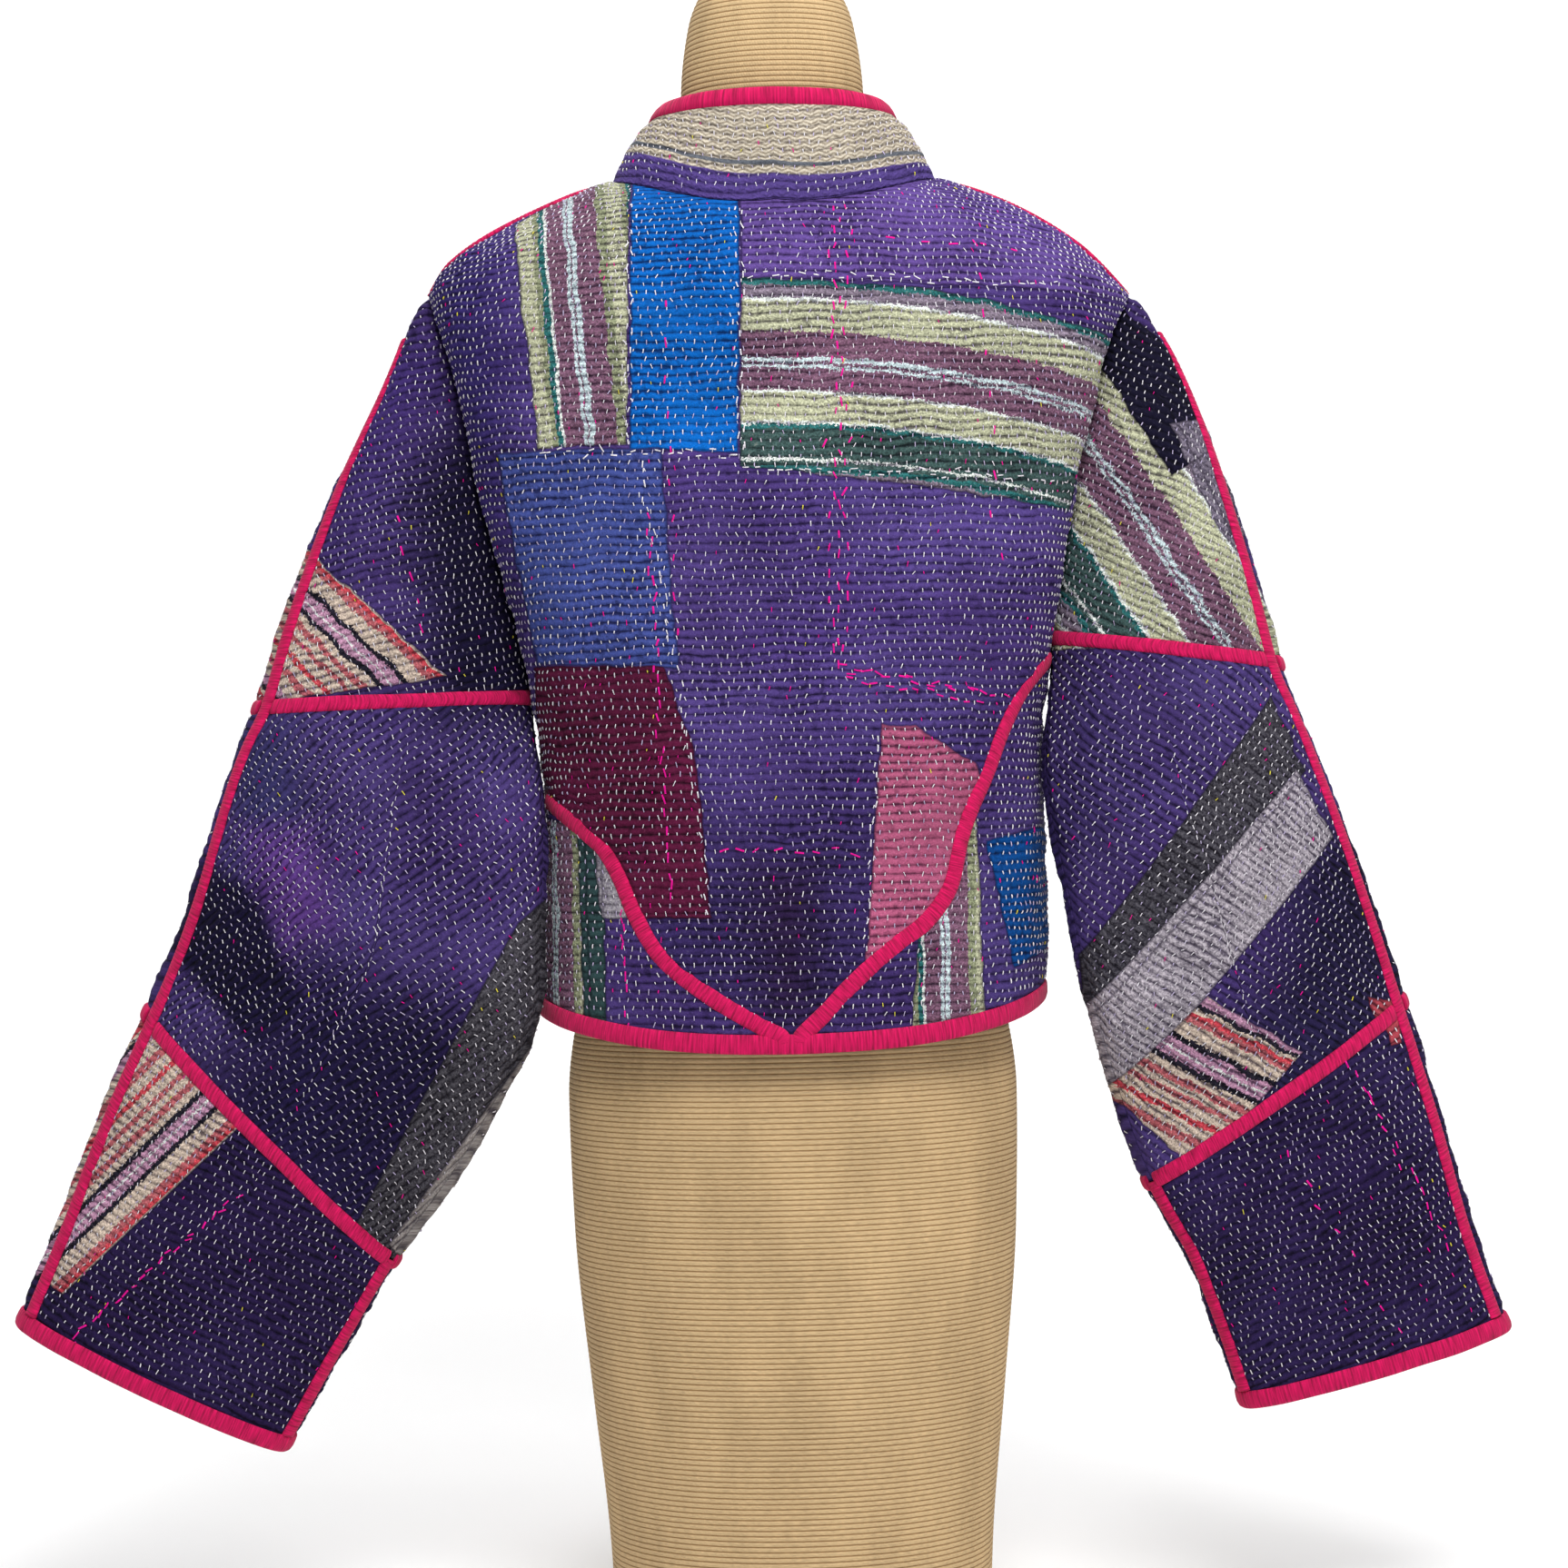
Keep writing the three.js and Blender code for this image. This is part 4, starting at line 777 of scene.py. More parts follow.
def make_cloth(panel, sizes, material, slot="quilt"):
    """A closed wall on a panel's grid: rippled outside, plain inside on fewer points."""
    source, points = panel.points, panel.points.copy()
    points[0] += unit(source[1] - source[0]) * EDGE_GAP
    points[-1] += unit(source[-2] - source[-1]) * EDGE_GAP
    points[:, 0] += unit(source[:, 1] - source[:, 0]) * EDGE_GAP
    points[:, -1] += unit(source[:, -2] - source[:, -1]) * EDGE_GAP
    half = sizes.wall / MM / 2
    height = quilt_height(panel, sizes)
    outer = points + panel.normals * (half - OUTSIDE_SINK + height)[..., None]
    rows, columns = height.shape
    keep_r, keep_c = thinned(rows, INSIDE_STEP), thinned(columns, INSIDE_STEP)
    inside = np.ix_(keep_r, keep_c)
    inner = (points - panel.normals * half)[inside]
    outer_ids = np.arange(rows * columns).reshape(rows, columns)
    inner_ids = rows * columns + np.arange(len(keep_r) * len(keep_c)).reshape(len(keep_r), -1)
    faces = [grid_faces(outer_ids), grid_faces(inner_ids, True)]
    rims = [rim_faces(outer_ids[0], inner_ids[0], keep_c, True),
            rim_faces(outer_ids[-1], inner_ids[-1], keep_c, False),
            rim_faces(outer_ids[:, 0], inner_ids[:, 0], keep_r, False),
            rim_faces(outer_ids[:, -1], inner_ids[:, -1], keep_r, True)]
    vertices = np.concatenate([outer.reshape(-1, 3), inner.reshape(-1, 3)])
    obj = new_object(panel.name + "_cloth", vertices, faces + rims, material, slot)
    number, along = stitch_phases(panel.a, panel.b, sizes)
    flat = np.stack([panel.a, panel.b], -1) * MM
    for layer, places in (("cloth", flat), ("quilt", np.stack([along, number], -1))):
        both = np.concatenate([places.reshape(-1, 2), places[inside].reshape(-1, 2)])
        add_uv(obj, both, layer)
    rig.replaces(obj, panel.name)
    panel.outer = outer
    return obj


# ------------------------------------------------------------ stitches
# A dash of thread: a low ridge over an oblong foot, in units of its half sizes.
DASH = np.array([(-1, -0.7, 0), (-1, 0.7, 0), (1, 0.7, 0), (1, -0.7, 0), (-0.45, 0, 1),
                 (0.45, 0, 1)])
DASH_FACES = np.array([(0, 3, 5), (0, 5, 4), (2, 1, 4), (2, 4, 5), (1, 0, 4), (3, 2, 5)])
STITCH_LIFT, ACCENT_LIFT = 0.12, 0.25
STITCH_BORDER = 5.2  # mm along a panel's border that its tapes cover, with no stitches
STITCH_MISSED = 0.06
STITCH_KINDS = (0.60, 0.365, 0.028, 0.007)  # shares of the threads, in THREADS' order
ACCENT = 2  # the magenta thread, whose stitches are the largest
ACCENT_MISS = 4  # mm beside a panel at which a line's stitches are left out


def make_dashes(name, at, way, up, long, wide, high, kinds):
    """Many short threads as one mesh: places, ways along and out of the cloth, sizes."""
    across = unit(np.cross(up, way))
    parts = (DASH[None, :, 0:1] * (way * long[:, None])[:, None]
             + DASH[None, :, 1:2] * (across * wide[:, None])[:, None]
             + DASH[None, :, 2:3] * (up * high[:, None])[:, None])
    vertices = (at[:, None] + parts).reshape(-1, 3)
    faces = (np.arange(len(at)) * len(DASH))[:, None, None] + DASH_FACES[None]
    obj = new_object(name, vertices, [faces.reshape(-1, 3)], threads(), "quilt")
    colours = np.repeat(kinds, len(DASH_FACES)).astype(np.int32)
    obj.data.polygons.foreach_set("material_index", colours)
    return obj


def stitch_places(panel, sizes):
    """Where the running stitches fall on a panel: places, ways and normals. Each face
    is tried for a place where the row and the stitch are both whole numbers."""
    rows, along = stitch_phases(panel.a, panel.b, sizes)

    def parts(v):
        """A face's middle value, and its change up and along the face."""
        p, q, r, s = v[:-1, :-1], v[:-1, 1:], v[1:, 1:], v[1:, :-1]
        return (p + q + r + s) / 4, (s + r - p - q) / 2, (q + r - p - s) / 2

    r0, r_up, r_on = parts(rows)
    s0, s_up, s_on = parts(along)
    number = np.round(r0)
    s0 = s0 + brick_offset(number)
    miss_r, miss_s = number - r0, np.round(s0) - s0
    det = r_up * s_on - r_on * s_up
    det = np.where(np.abs(det) < 1e-9, 1e9, det)
    up = (miss_r * s_on - r_on * miss_s) / det
    on = (r_up * miss_s - s_up * miss_r) / det
    inside = (np.abs(up) <= 0.5) & (np.abs(on) <= 0.5)
    inside &= parts(border_distance(panel.points))[0] > STITCH_BORDER
    p0, p_up, p_on = parts(panel.outer)
    place = p0 + p_up * up[..., None] + p_on * on[..., None]
    across_rows = (p_up * (s_on / det)[..., None] - p_on * (s_up / det)[..., None])
    normal = parts(panel.normals)[0]
    return place[inside], unit(across_rows[inside]), unit(normal[inside])


def make_stitches(panel, sizes, seed):
    """The white running stitches of a panel, each with its own size and turn."""
    place, way, up = stitch_places(panel, sizes)
    rng = np.random.default_rng(seed)
    kept = rng.random(len(place)) > STITCH_MISSED
    place, way, up = place[kept], way[kept], up[kept]
    count = len(place)
    turn = rng.normal(0, 0.22, count)[:, None]
    way = unit(way * np.cos(turn) + np.cross(up, way) * np.sin(turn))
    # Half the length, half the width, and the height of each stitch, in mm.
    long = rng.uniform(0.8, 1.7, count)
    wide = rng.uniform(0.28, 0.44, count)
    high = rng.uniform(0.45, 0.75, count)
    kinds = rng.choice(len(STITCH_KINDS), count, p=STITCH_KINDS)
    return make_dashes(panel.name + "_stitches", place + up * STITCH_LIFT, way, up, long, wide,
                       high, kinds)


def nearest_on(panel, x, z):
    """A panel's outer points nearest to places (x, z), their normals, and whether each
    is near enough to be on the panel."""
    flat = panel.outer[..., [0, 2]].reshape(-1, 2)
    ids = np.array([np.argmin((flat[:, 0] - px) ** 2 + (flat[:, 1] - pz) ** 2)
                    for px, pz in zip(x, z)])
    near = np.hypot(flat[ids, 0] - x, flat[ids, 1] - z) < ACCENT_MISS
    return panel.outer.reshape(-1, 3)[ids], panel.normals.reshape(-1, 3)[ids], near


def make_accent_lines(panel, lines, seed):
    """Longer stitches along straight lines."""
    rng = np.random.default_rng(seed)
    places, ways, ups, kinds = [], [], [], []
    for x1, z1, x2, z2, spacing, kind in lines:
        long = math.hypot(x2 - x1, z2 - z1)
        count = max(2, round(long / spacing))
        f = (np.arange(count) + 0.5) / count
        jitter = rng.normal(0, 1.3, (2, count))
        x, z = mix(x1, x2, f) + jitter[0], mix(z1, z2, f) + jitter[1]
        at, up, near = nearest_on(panel, x, z)
        way = np.tile(np.array([x2 - x1, 0, z2 - z1]) / long, (count, 1))
        way = way + rng.normal(0, 0.22, (count, 3)) * [1, 0, 1]
        way = unit(way - up * (way * up).sum(-1, keepdims=True))
        places.append((at + up * ACCENT_LIFT)[near])
        ways.append(way[near])
        ups.append(up[near])
        kinds.append(np.full(near.sum(), kind))
    at, way, up = (np.concatenate(v) for v in (places, ways, ups))
    count = len(at)
    kinds = np.concatenate(kinds)
    size = np.where(kinds == ACCENT, 1.0, 0.72)
    long = size * rng.uniform(1.9, 3.0, count)
    wide = size * rng.uniform(0.6, 0.85, count)
    high = rng.uniform(0.6, 0.9, count)
    return make_dashes(panel.name + "_accents", at, way, up, long, wide, high, kinds)


# ------------------------------------------------------------ tapes and bindings
TAPE_STATION, BINDING_STATION = 0.95, 1.05  # mm from one ring of points to the next
TAPE_UNDERSIDE = 0.15  # mm that a tape's underside keeps from the cloth


def resample(lines, spacing, closed=False):
    """Even stations along the first line; the other lines are carried with it."""
    if closed:
        lines = [np.concatenate([line, line[:1]]) for line in lines]
    at = running_length(lines[0], 0)
    count = max(4, round(at[-1] / spacing))
    target = np.linspace(0, at[-1], count + 1)[:-1 if closed else None]
    return [np.stack([np.interp(target, at, line[:, k]) for k in range(3)], -1)
            for line in lines], target


def softened(line, times, closed=False):
    """Rounds off the corners of a line of places; an open line keeps its ends."""
    for _ in range(times):
        inner = (np.roll(line, 1, 0) + 2 * line + np.roll(line, -1, 0)) / 4
        if not closed:
            inner[0], inner[-1] = line[0], line[-1]
        line = inner
    return line


def signed_volume(vertices, quads):
    """Six times a solid's volume, and less than 0 where its faces look inwards."""
    a, b, c, d = (vertices[quads[:, k]] for k in range(4))
    return (np.cross(a, b) * c).sum() + (np.cross(a, c) * d).sum()


def make_strip(name, rings, along, material, closed=False):
    """A solid swept through rings of points, with flat ends unless it closes on itself."""
    count, sides = rings.shape[:2]
    ids = np.arange(count * sides).reshape(count, sides)
    ids = np.concatenate([ids, ids[:, :1]], 1)
    vertices = rings.reshape(-1, 3)
    quads = grid_faces(np.concatenate([ids, ids[:1]]) if closed else ids)
    faces = [quads]
    if not closed:
        first, last = (np.stack([row[1:], row[:-1], np.full(sides, len(vertices) + k)], -1)
                       for k, row in enumerate(ids[[0, -1]]))
        faces += [first, last[:, ::-1]]
        vertices = np.concatenate([vertices, rings[[0, -1]].mean(1)])
    if signed_volume(vertices - vertices.mean(0), quads) < 0:
        faces = [each[:, ::-1] for each in faces]
    obj = new_object(name, vertices, faces, material, "pink")
    uv = np.stack([np.repeat(along, sides), np.tile(np.arange(sides), count)], -1)
    if not closed:
        uv = np.concatenate([uv, [[along[0], 0], [along[-1], 0]]])
    add_uv(obj, uv * MM)
    return obj


def gathers(along, seed):
    """Height of the fine cross gathers that stitching draws into a tape, about -1 to 1."""
    wave = along / 2.5 + 0.9 * noise(along / 9, along * 0, seed)
    return np.sin(2 * np.pi * wave) * (0.6 + 0.5 * noise(along / 14, along * 0, seed + 1))


# A tape's section: places from one edge (-1) to the other (1).
TAPE_SHARES = np.array([-1.0, -0.93, -0.62, -0.22, 0.22, 0.62, 0.93, 1.0])
TAPE_CUT = 0.0115  # metres: the tape's finished width with the rise of its crown
BINDING_CUT = 0.0135  # metres: the width of a folded binding, with its rise


def make_tape(node, centre, one, two, facing, material, seed, trim=(0, 0)):
    """A tape over a seam, given the seam's places and those TAPE_REACH to each side. It
    lies on the side that faces the given way."""
    (centre, one, two), along = resample([centre, one, two], TAPE_STATION)
    kept = (along >= trim[0]) & (along <= along[-1] - trim[1])
    along = along[kept]
    centre, one, two = (softened(line[kept], 3) for line in (centre, one, two))
    tangent = unit(np.gradient(centre, axis=0))[:, None]
    control = (2 * centre - (one + two) / 2)[:, None]
    one, two = one[:, None], two[:, None]
    u = (1 + TAPE_SHARES[None, :, None]) / 2
    base = (1 - u) ** 2 * one + 2 * u * (1 - u) * control + u ** 2 * two
    slope = unit(2 * (1 - u) * (control - one) + 2 * u * (two - control))
    normal = unit(np.cross(slope, tangent))
    if (normal[len(normal) // 2, 3] * facing).sum() < 0:
        normal = -normal
    base = base + slope * (0.35 * noise(along / 25, along * 0, seed + 5))[:, None, None]
    # The top is crowned, and its gathers are highest along the middle.
    crown = (1 - np.abs(TAPE_SHARES) ** 3) ** 0.55
    lift = 0.7 + 2.0 * crown[None] + 0.26 * gathers(along, seed)[:, None] * crown[None]
    top = base + normal * lift[..., None]
    low = (base + normal * TAPE_UNDERSIDE)[:, [1, 3, 4, 6]]
    obj = make_strip(node + "_cloth", np.concatenate([low, top[:, ::-1]], 1), along, material)
    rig.replaces(obj, node)
    length = float(along[-1] - along[0]) * MM
    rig.sheet(obj, flat=(TAPE_CUT, length), held="laid", rests_on=["dress_form"])


# A binding's section: mm out from the panel's edge, and mm up from the cloth's middle.
BINDING_OUTLINE = np.array([
    (-1.6, -1.25), (2, -2.05), (5.4, -2.15), (8.2, -1.5), (9.2, -0.3), (9.1, 0.8),
    (7.8, 2.0), (5.0, 2.6), (1.6, 2.45), (-1.2, 2.1), (-2.3, 1.3)])


def make_binding(node, edge, inside, material, seed, closed=False, past=0, trim=0):
    """A folded binding that caps a panel's edge, given its places and inner neighbours.
    It goes some mm past the edge's ends, or stops some mm before them."""
    if past:
        first = edge[:1] + unit(edge[:1] - edge[1:2]) * past
        last = edge[-1:] + unit(edge[-1:] - edge[-2:-1]) * past
        shift = inside - edge
        edge = np.concatenate([first, edge, last])
        inside = edge + np.concatenate([shift[:1], shift, shift[-1:]])
    (edge, inside), along = resample([edge, inside], BINDING_STATION, closed)
    if trim:
        kept = (along >= trim) & (along <= along[-1] - trim)
        edge, inside, along = edge[kept], inside[kept], along[kept]
    edge, inside = softened(edge, 6, closed), softened(inside, 12, closed)
    if closed:
        tangent = unit(np.roll(edge, -1, 0) - np.roll(edge, 1, 0))
    else:
        tangent = unit(np.gradient(edge, axis=0))
    out = edge - inside
    out = unit(out - tangent * (out * tangent).sum(-1, keepdims=True))
    normal = np.cross(tangent, -out)
    swell = 1 + 0.07 * gathers(along, seed) + 0.05 * noise(along / 30, along * 0, seed + 3)
    sway = 0.25 * noise(along / 22, along * 0, seed + 4)
    rings = (edge[:, None] + out[:, None] * (BINDING_OUTLINE[None, :, :1] + sway[:, None, None])
             + normal[:, None] * BINDING_OUTLINE[None, :, 1:] * swell[:, None, None])
    obj = make_strip(node + "_cloth", rings, along, material, closed)
    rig.replaces(obj, node)
    length = float(along[-1] - along[0]) * MM
    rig.sheet(obj, flat=(BINDING_CUT, length), held="folded", rests_on=["dress_form"])


def body_line(side, face, angle, rows):
    """A line on the body with the places TAPE_REACH to each side of it, which lie a
    little deeper because the body is round."""
    step = 0.05
    at = body_point(side, face, angle, rows)
    up = np.gradient(at, axis=0)
    on = (body_point(side, face, angle + step, rows)
          - body_point(side, face, np.maximum(0, angle - step), rows))
    normal = unit(np.cross(on, up))
    normal *= np.sign((normal * [0, face, 0]).sum(-1, keepdims=True) + 1e-9)
    across = unit(np.cross(normal, unit(up))) * TAPE_REACH
    sag = normal * 0.12
    return at, at + across - sag, at - across - sag


def sleeve_neighbour(side, face, t, s, towards):
    """Places on a sleeve TAPE_REACH from those at (t, s), going towards more or less of
    s (around) or of t (along)."""
    around, way = towards[0] == "s", 1 if towards[1] == "+" else -1

    def moved(far):
        if around:
            return sleeve_point(side, face, t, s + way * far)
        return sleeve_point(side, face, t + way * far, s)

    step = 0.02 if around else 0.018
    speed = np.linalg.norm(moved(step) - moved(0), axis=-1) / step
    far = TAPE_REACH / speed
    return moved(np.minimum(far, 0.2) if around else far)


def seam_line(side, t, s, towards):
    """A seam down a sleeve, with the places beside it on the back and on the front."""
    return (sleeve_point(side, 1, t, s), sleeve_neighbour(side, 1, t, s, towards),
            sleeve_neighbour(side, -1, t, s, towards))


# ------------------------------------------------------------ shader building
class Nodes:
    """Adds and links nodes in one tree, sockets given as links or as plain values."""

    def __init__(self, tree):
        self.tree = tree

    def add(self, kind, **sockets):
        node = self.tree.nodes.new(kind)
        for name, value in sockets.items():
            self.put(node.inputs[name.replace("_", " ")], value)
        return node

    def put(self, socket, value):
        if isinstance(value, bpy.types.NodeSocket):
            self.tree.links.new(value, socket)
        else:
            if socket.type == "RGBA" and len(value) == 3:
                value = (*value, 1)
            socket.default_value = value

    def math(self, operation, *values, clamp=False):
        node = self.tree.nodes.new("ShaderNodeMath")
        node.operation, node.use_clamp = operation, clamp
        for socket, value in zip(node.inputs, values):
            self.put(socket, value)
        return node.outputs[0]

    def total(self, *parts):
        """The sum of some values, each given with the number that it is multiplied by."""
        result = 0.0
        for value, times in parts:
            result = self.math("MULTIPLY_ADD", value, times, result)
        return result

    def dot(self, one, two):
        node = self.tree.nodes.new("ShaderNodeVectorMath")
        node.operation = "DOT_PRODUCT"
        self.put(node.inputs[0], one)
        self.put(node.inputs[1], two)
        return node.outputs["Value"]

    def scaled(self, vector, size):
        node = self.tree.nodes.new("ShaderNodeVectorMath")
        node.operation = "SCALE"
        self.put(node.inputs[0], vector)
        self.put(node.inputs["Scale"], size)
        return node.outputs["Vector"]

    def mix(self, factor, a, b, blend="MIX"):
        node = self.tree.nodes.new("ShaderNodeMix")
        node.data_type, node.blend_type = "RGBA", blend
        # Sockets 6, 7 and 2 are the colours A, B and Result.
        self.put(node.inputs[0], factor)
        self.put(node.inputs[6], a)
        self.put(node.inputs[7], b)
        return node.outputs[2]

    def toned(self, colour, tone):
        """A colour made lighter or darker by a value."""
        return self.mix(1.0, colour, self.join(tone, tone, tone), "MULTIPLY")

    def map(self, value, low, high, to_low=0.0, to_high=1.0, smooth_step=False):
        node = self.add("ShaderNodeMapRange", Value=value)
        node.interpolation_type = "SMOOTHSTEP" if smooth_step else "LINEAR"
        for name, number in zip(("From Min", "From Max", "To Min", "To Max"),
                                (low, high, to_low, to_high)):
            self.put(node.inputs[name], number)
        return node.outputs[0]

    def noise(self, vector, scale, detail=2.0, roughness=0.5):
        node = self.add("ShaderNodeTexNoise", Vector=vector, Scale=scale, Detail=detail,
                        Roughness=roughness)
        return node.outputs[0]

    def ramp(self, factor, stops):
        node = self.tree.nodes.new("ShaderNodeValToRGB")
        node.color_ramp.interpolation = "CONSTANT"
        elements = node.color_ramp.elements
        while len(elements) < len(stops):
            elements.new(0.5)
        for element, (place, colour) in zip(elements, stops):
            element.position, element.color = place, (*colour, 1)
        self.put(node.inputs[0], factor)
        return node.outputs[0]

    def join(self, x, y, z):
        return self.add("ShaderNodeCombineXYZ", X=x, Y=y, Z=z).outputs[0]

    def split(self, vector):
        return self.add("ShaderNodeSeparateXYZ", Vector=vector).outputs

    def use(self, group_tree, **sockets):
        node = self.tree.nodes.new("ShaderNodeGroup")
        node.node_tree = group_tree
        for name, value in sockets.items():
            self.put(node.inputs[name.replace("_", " ")], value)
        return node.outputs


def effect_group(name, inputs, outputs, build):
    """A node group made once: inputs and outputs as (name, socket kind, default)."""
    tree = bpy.data.node_groups.get(name)
    if tree:
        return tree
    tree = bpy.data.node_groups.new(name, "ShaderNodeTree")
    kinds = {"value": "NodeSocketFloat", "vector": "NodeSocketVector", "colour": "NodeSocketColor"}
    for label, kind, default in inputs:
        socket = tree.interface.new_socket(label, in_out="INPUT", socket_type=kinds[kind])
        socket.default_value = (*default, 1) if kind == "colour" else default
    for label, kind in outputs:
        tree.interface.new_socket(label, in_out="OUTPUT", socket_type=kinds[kind])
    nodes = Nodes(tree)
    start = tree.nodes.new("NodeGroupInput")
    end = tree.nodes.new("NodeGroupOutput")
    for label, socket in build(nodes, start.outputs).items():
        nodes.put(end.inputs[label], socket)
    return tree


def speckle_group():
    """Yarns of uneven tone, with odd lighter slubs, woven along a stripe."""
    def build(n, given):
        yarn = n.noise(given["Cloth"], 780.0, 2.0, 0.65)
        slub = n.noise(given["Cloth"], 330.0, 3.0, 0.7)
        tone = n.math("MULTIPLY", n.map(yarn, 0.32, 0.68, 0.45, 1.45),
                      n.map(slub, 0.3, 0.7, 0.75, 1.2))
        dyed = n.toned(given["Color"], tone)
        return {"Color": n.mix(n.map(slub, 0.60, 0.72, 0.0, 0.35), dyed, (0.34, 0.32, 0.28))}

    return effect_group("Speckled Yarn", [
        ("Color", "colour", (0.4, 0.4, 0.4)), ("Cloth", "vector", (0, 0, 0))],
        [("Color", "colour")], build)


def patch_group():
    """A patch with up to five edges: its mask, and how many mm a place is inside it."""
    def build(n, given):
        depth = None
        for k in range(1, PATCH_EDGES + 1):
            far = n.dot(given["Place"], given[f"Edge {k}"])
            depth = far if depth is None else n.math("MINIMUM", depth, far)
        return {"Mask": n.map(depth, -0.2, 0.4), "Depth": depth}

    inputs = [("Place", "vector", (0, 0, 1))]
    inputs += [(f"Edge {k}", "vector", (0, 0, 1)) for k in range(1, PATCH_EDGES + 1)]
    return effect_group("Cloth Patch", inputs, [("Mask", "value"), ("Depth", "value")], build)


def stripe_group():
    """How far across a repeat of stripes a place is, from 0 to 1. The stripes bend
    down where x is less than the bend's start."""
    def build(n, given):
        across = n.dot(given["Place"], given["Axis"])
        x = n.split(given["Place"])[0]
        bent = n.math("MAXIMUM", 0.0, n.math("SUBTRACT", given["Bend Start"], x))
        bend = n.math("MULTIPLY", n.math("MULTIPLY", bent, bent), given["Bend"])
        return {"Across": n.math("FRACT", n.math("SUBTRACT", across, bend))}

    return effect_group("Stripe Coordinate", [
        ("Place", "vector", (0, 0, 1)), ("Axis", "vector", (0, 0, 0)),
        ("Bend Start", "value", 0.0), ("Bend", "value", 0.0)], [("Across", "value")], build)


def relief_group():
    """The quilt's ripple: grooves between rows, pinched at each stitch."""
    def build(n, given):
        along, rows, _ = n.split(given["Quilt"])
        number = n.math("ROUND", rows)
        shift = n.math("MULTIPLY", n.math("PINGPONG", number, 1.0), 0.5)
        wander = n.math("MULTIPLY", n.math("SINE", n.math("MULTIPLY", number, 2.3)), 0.13)
        along = n.math("ADD", n.math("ADD", along, shift), wander)
        groove = n.math("ABSOLUTE", n.math("SINE", n.math("MULTIPLY", rows, math.pi)))
        ridge = n.math("POWER", groove, 0.7)
        turn = n.math("MULTIPLY", along, 2 * math.pi)
        pinch = n.math("MULTIPLY_ADD", n.math("COSINE", turn), 0.5, 0.5)
        crumple = n.noise(given["Cloth"], 210.0, 3.0, 0.6)
        weave = n.noise(given["Cloth"], 1500.0, 2.0, 0.6)
        held = n.math("MULTIPLY", pinch, n.math("SUBTRACT", 1.0, ridge))
        height = n.total((ridge, 0.6), (crumple, 1.3), (held, -0.45), (weave, 0.12))
        patchy = n.map(n.noise(given["Cloth"], 16.0, 2.0, 0.5), 0.36, 0.64, 0.45, 1.15)
        # Painted shade: darkest in the grooves, at the pinched stitches and in the crumple's hollows, stronger in some
        # places than others.
        shade = n.math("POWER", n.math("SUBTRACT", 1.0, groove), 1.4)
        hollow = n.map(crumple, 0.5, 0.36, 0.0, 0.55)
        shade = n.math("ADD", n.math("MULTIPLY_ADD", held, 0.3, shade), hollow)
        return {"Height": height, "Groove": n.math("MULTIPLY", shade, patchy, clamp=True)}

    return effect_group("Quilt Relief", [
        ("Quilt", "vector", (0, 0, 0)), ("Cloth", "vector", (0, 0, 0))],
        [("Height", "value"), ("Groove", "value")], build)


def cotton_group():
    """Worn cotton: yarn flecks, faded and deeper areas and dark grooves."""
    def build(n, given):
        cloth = given["Cloth"]
        yarn = n.map(n.noise(cloth, 900.0, 2.0, 0.7), 0.25, 0.75, 0.72, 1.3)
        fade = n.map(n.noise(cloth, 13.0, 3.0, 0.55), 0.3, 0.7, 0.84, 1.2)
        colour = n.toned(n.toned(given["Color"], yarn), fade)
        fluff = n.map(n.noise(cloth, 420.0, 3.0, 0.75), 0.6, 0.74)
        colour = n.mix(n.math("MULTIPLY", fluff, given["Fleck"]), colour, (0.62, 0.58, 0.66))
        # Painted shade in the grooves, as deep as Groove Depth says.
        dark = n.math("MULTIPLY", given["Groove"], given["Groove Depth"])
        return {"Color": n.mix(dark, colour, n.mix(1.0, colour, (0.14, 0.12, 0.18), "MULTIPLY"))}

    return effect_group("Worn Cotton", [
        ("Color", "colour", (0.2, 0.1, 0.3)), ("Cloth", "vector", (0, 0, 0)),
        ("Groove", "value", 0.0), ("Groove Depth", "value", 0.9), ("Fleck", "value", 0.06)],
        [("Color", "colour")], build)


def heather_group():
    """A woven look of two mingled yarn colours."""
    def build(n, given):
        fine = n.noise(given["Cloth"], 650.0, 2.0, 0.65)
        wide = n.noise(given["Cloth"], 160.0, 3.0, 0.7)
        share = n.map(n.total((fine, 0.65), (wide, 0.35)), 0.42, 0.58)
        return {"Color": n.mix(share, given["One"], given["Two"])}

    return effect_group("Heather Yarn", [
        ("One", "colour", (0.5, 0.5, 0.5)), ("Two", "colour", (0.1, 0.1, 0.1)),
        ("Cloth", "vector", (0, 0, 0))], [("Color", "colour")], build)


def gather_group():
    """The fine crosswise gathers and the weave of a cotton tape."""
    def build(n, given):
        along, across, _ = n.split(n.scaled(given["Cloth"], 1 / MM))
        spread = n.join(along, n.math("MULTIPLY", across, 0.18), 0.0)
        waves = n.noise(spread, 0.75, 2.0, 0.55)
        weave = n.noise(spread, 6.0, 2.0, 0.6)
        # Painted shade and light: the tone follows the gathers' waves and the weave, darker in their troughs and
        # lighter on their crests.
        tone = n.map(n.total((waves, 0.8), (weave, 0.2)), 0.34, 0.66, 0.42, 1.30)
        return {"Color": n.toned(given["Color"], tone),
                "Height": n.math("MULTIPLY_ADD", weave, 0.1, waves)}

    return effect_group("Gathered Tape", [
        ("Color", "colour", (0.6, 0.02, 0.1)), ("Cloth", "vector", (0, 0, 0))],
        [("Color", "colour"), ("Height", "value")], build)


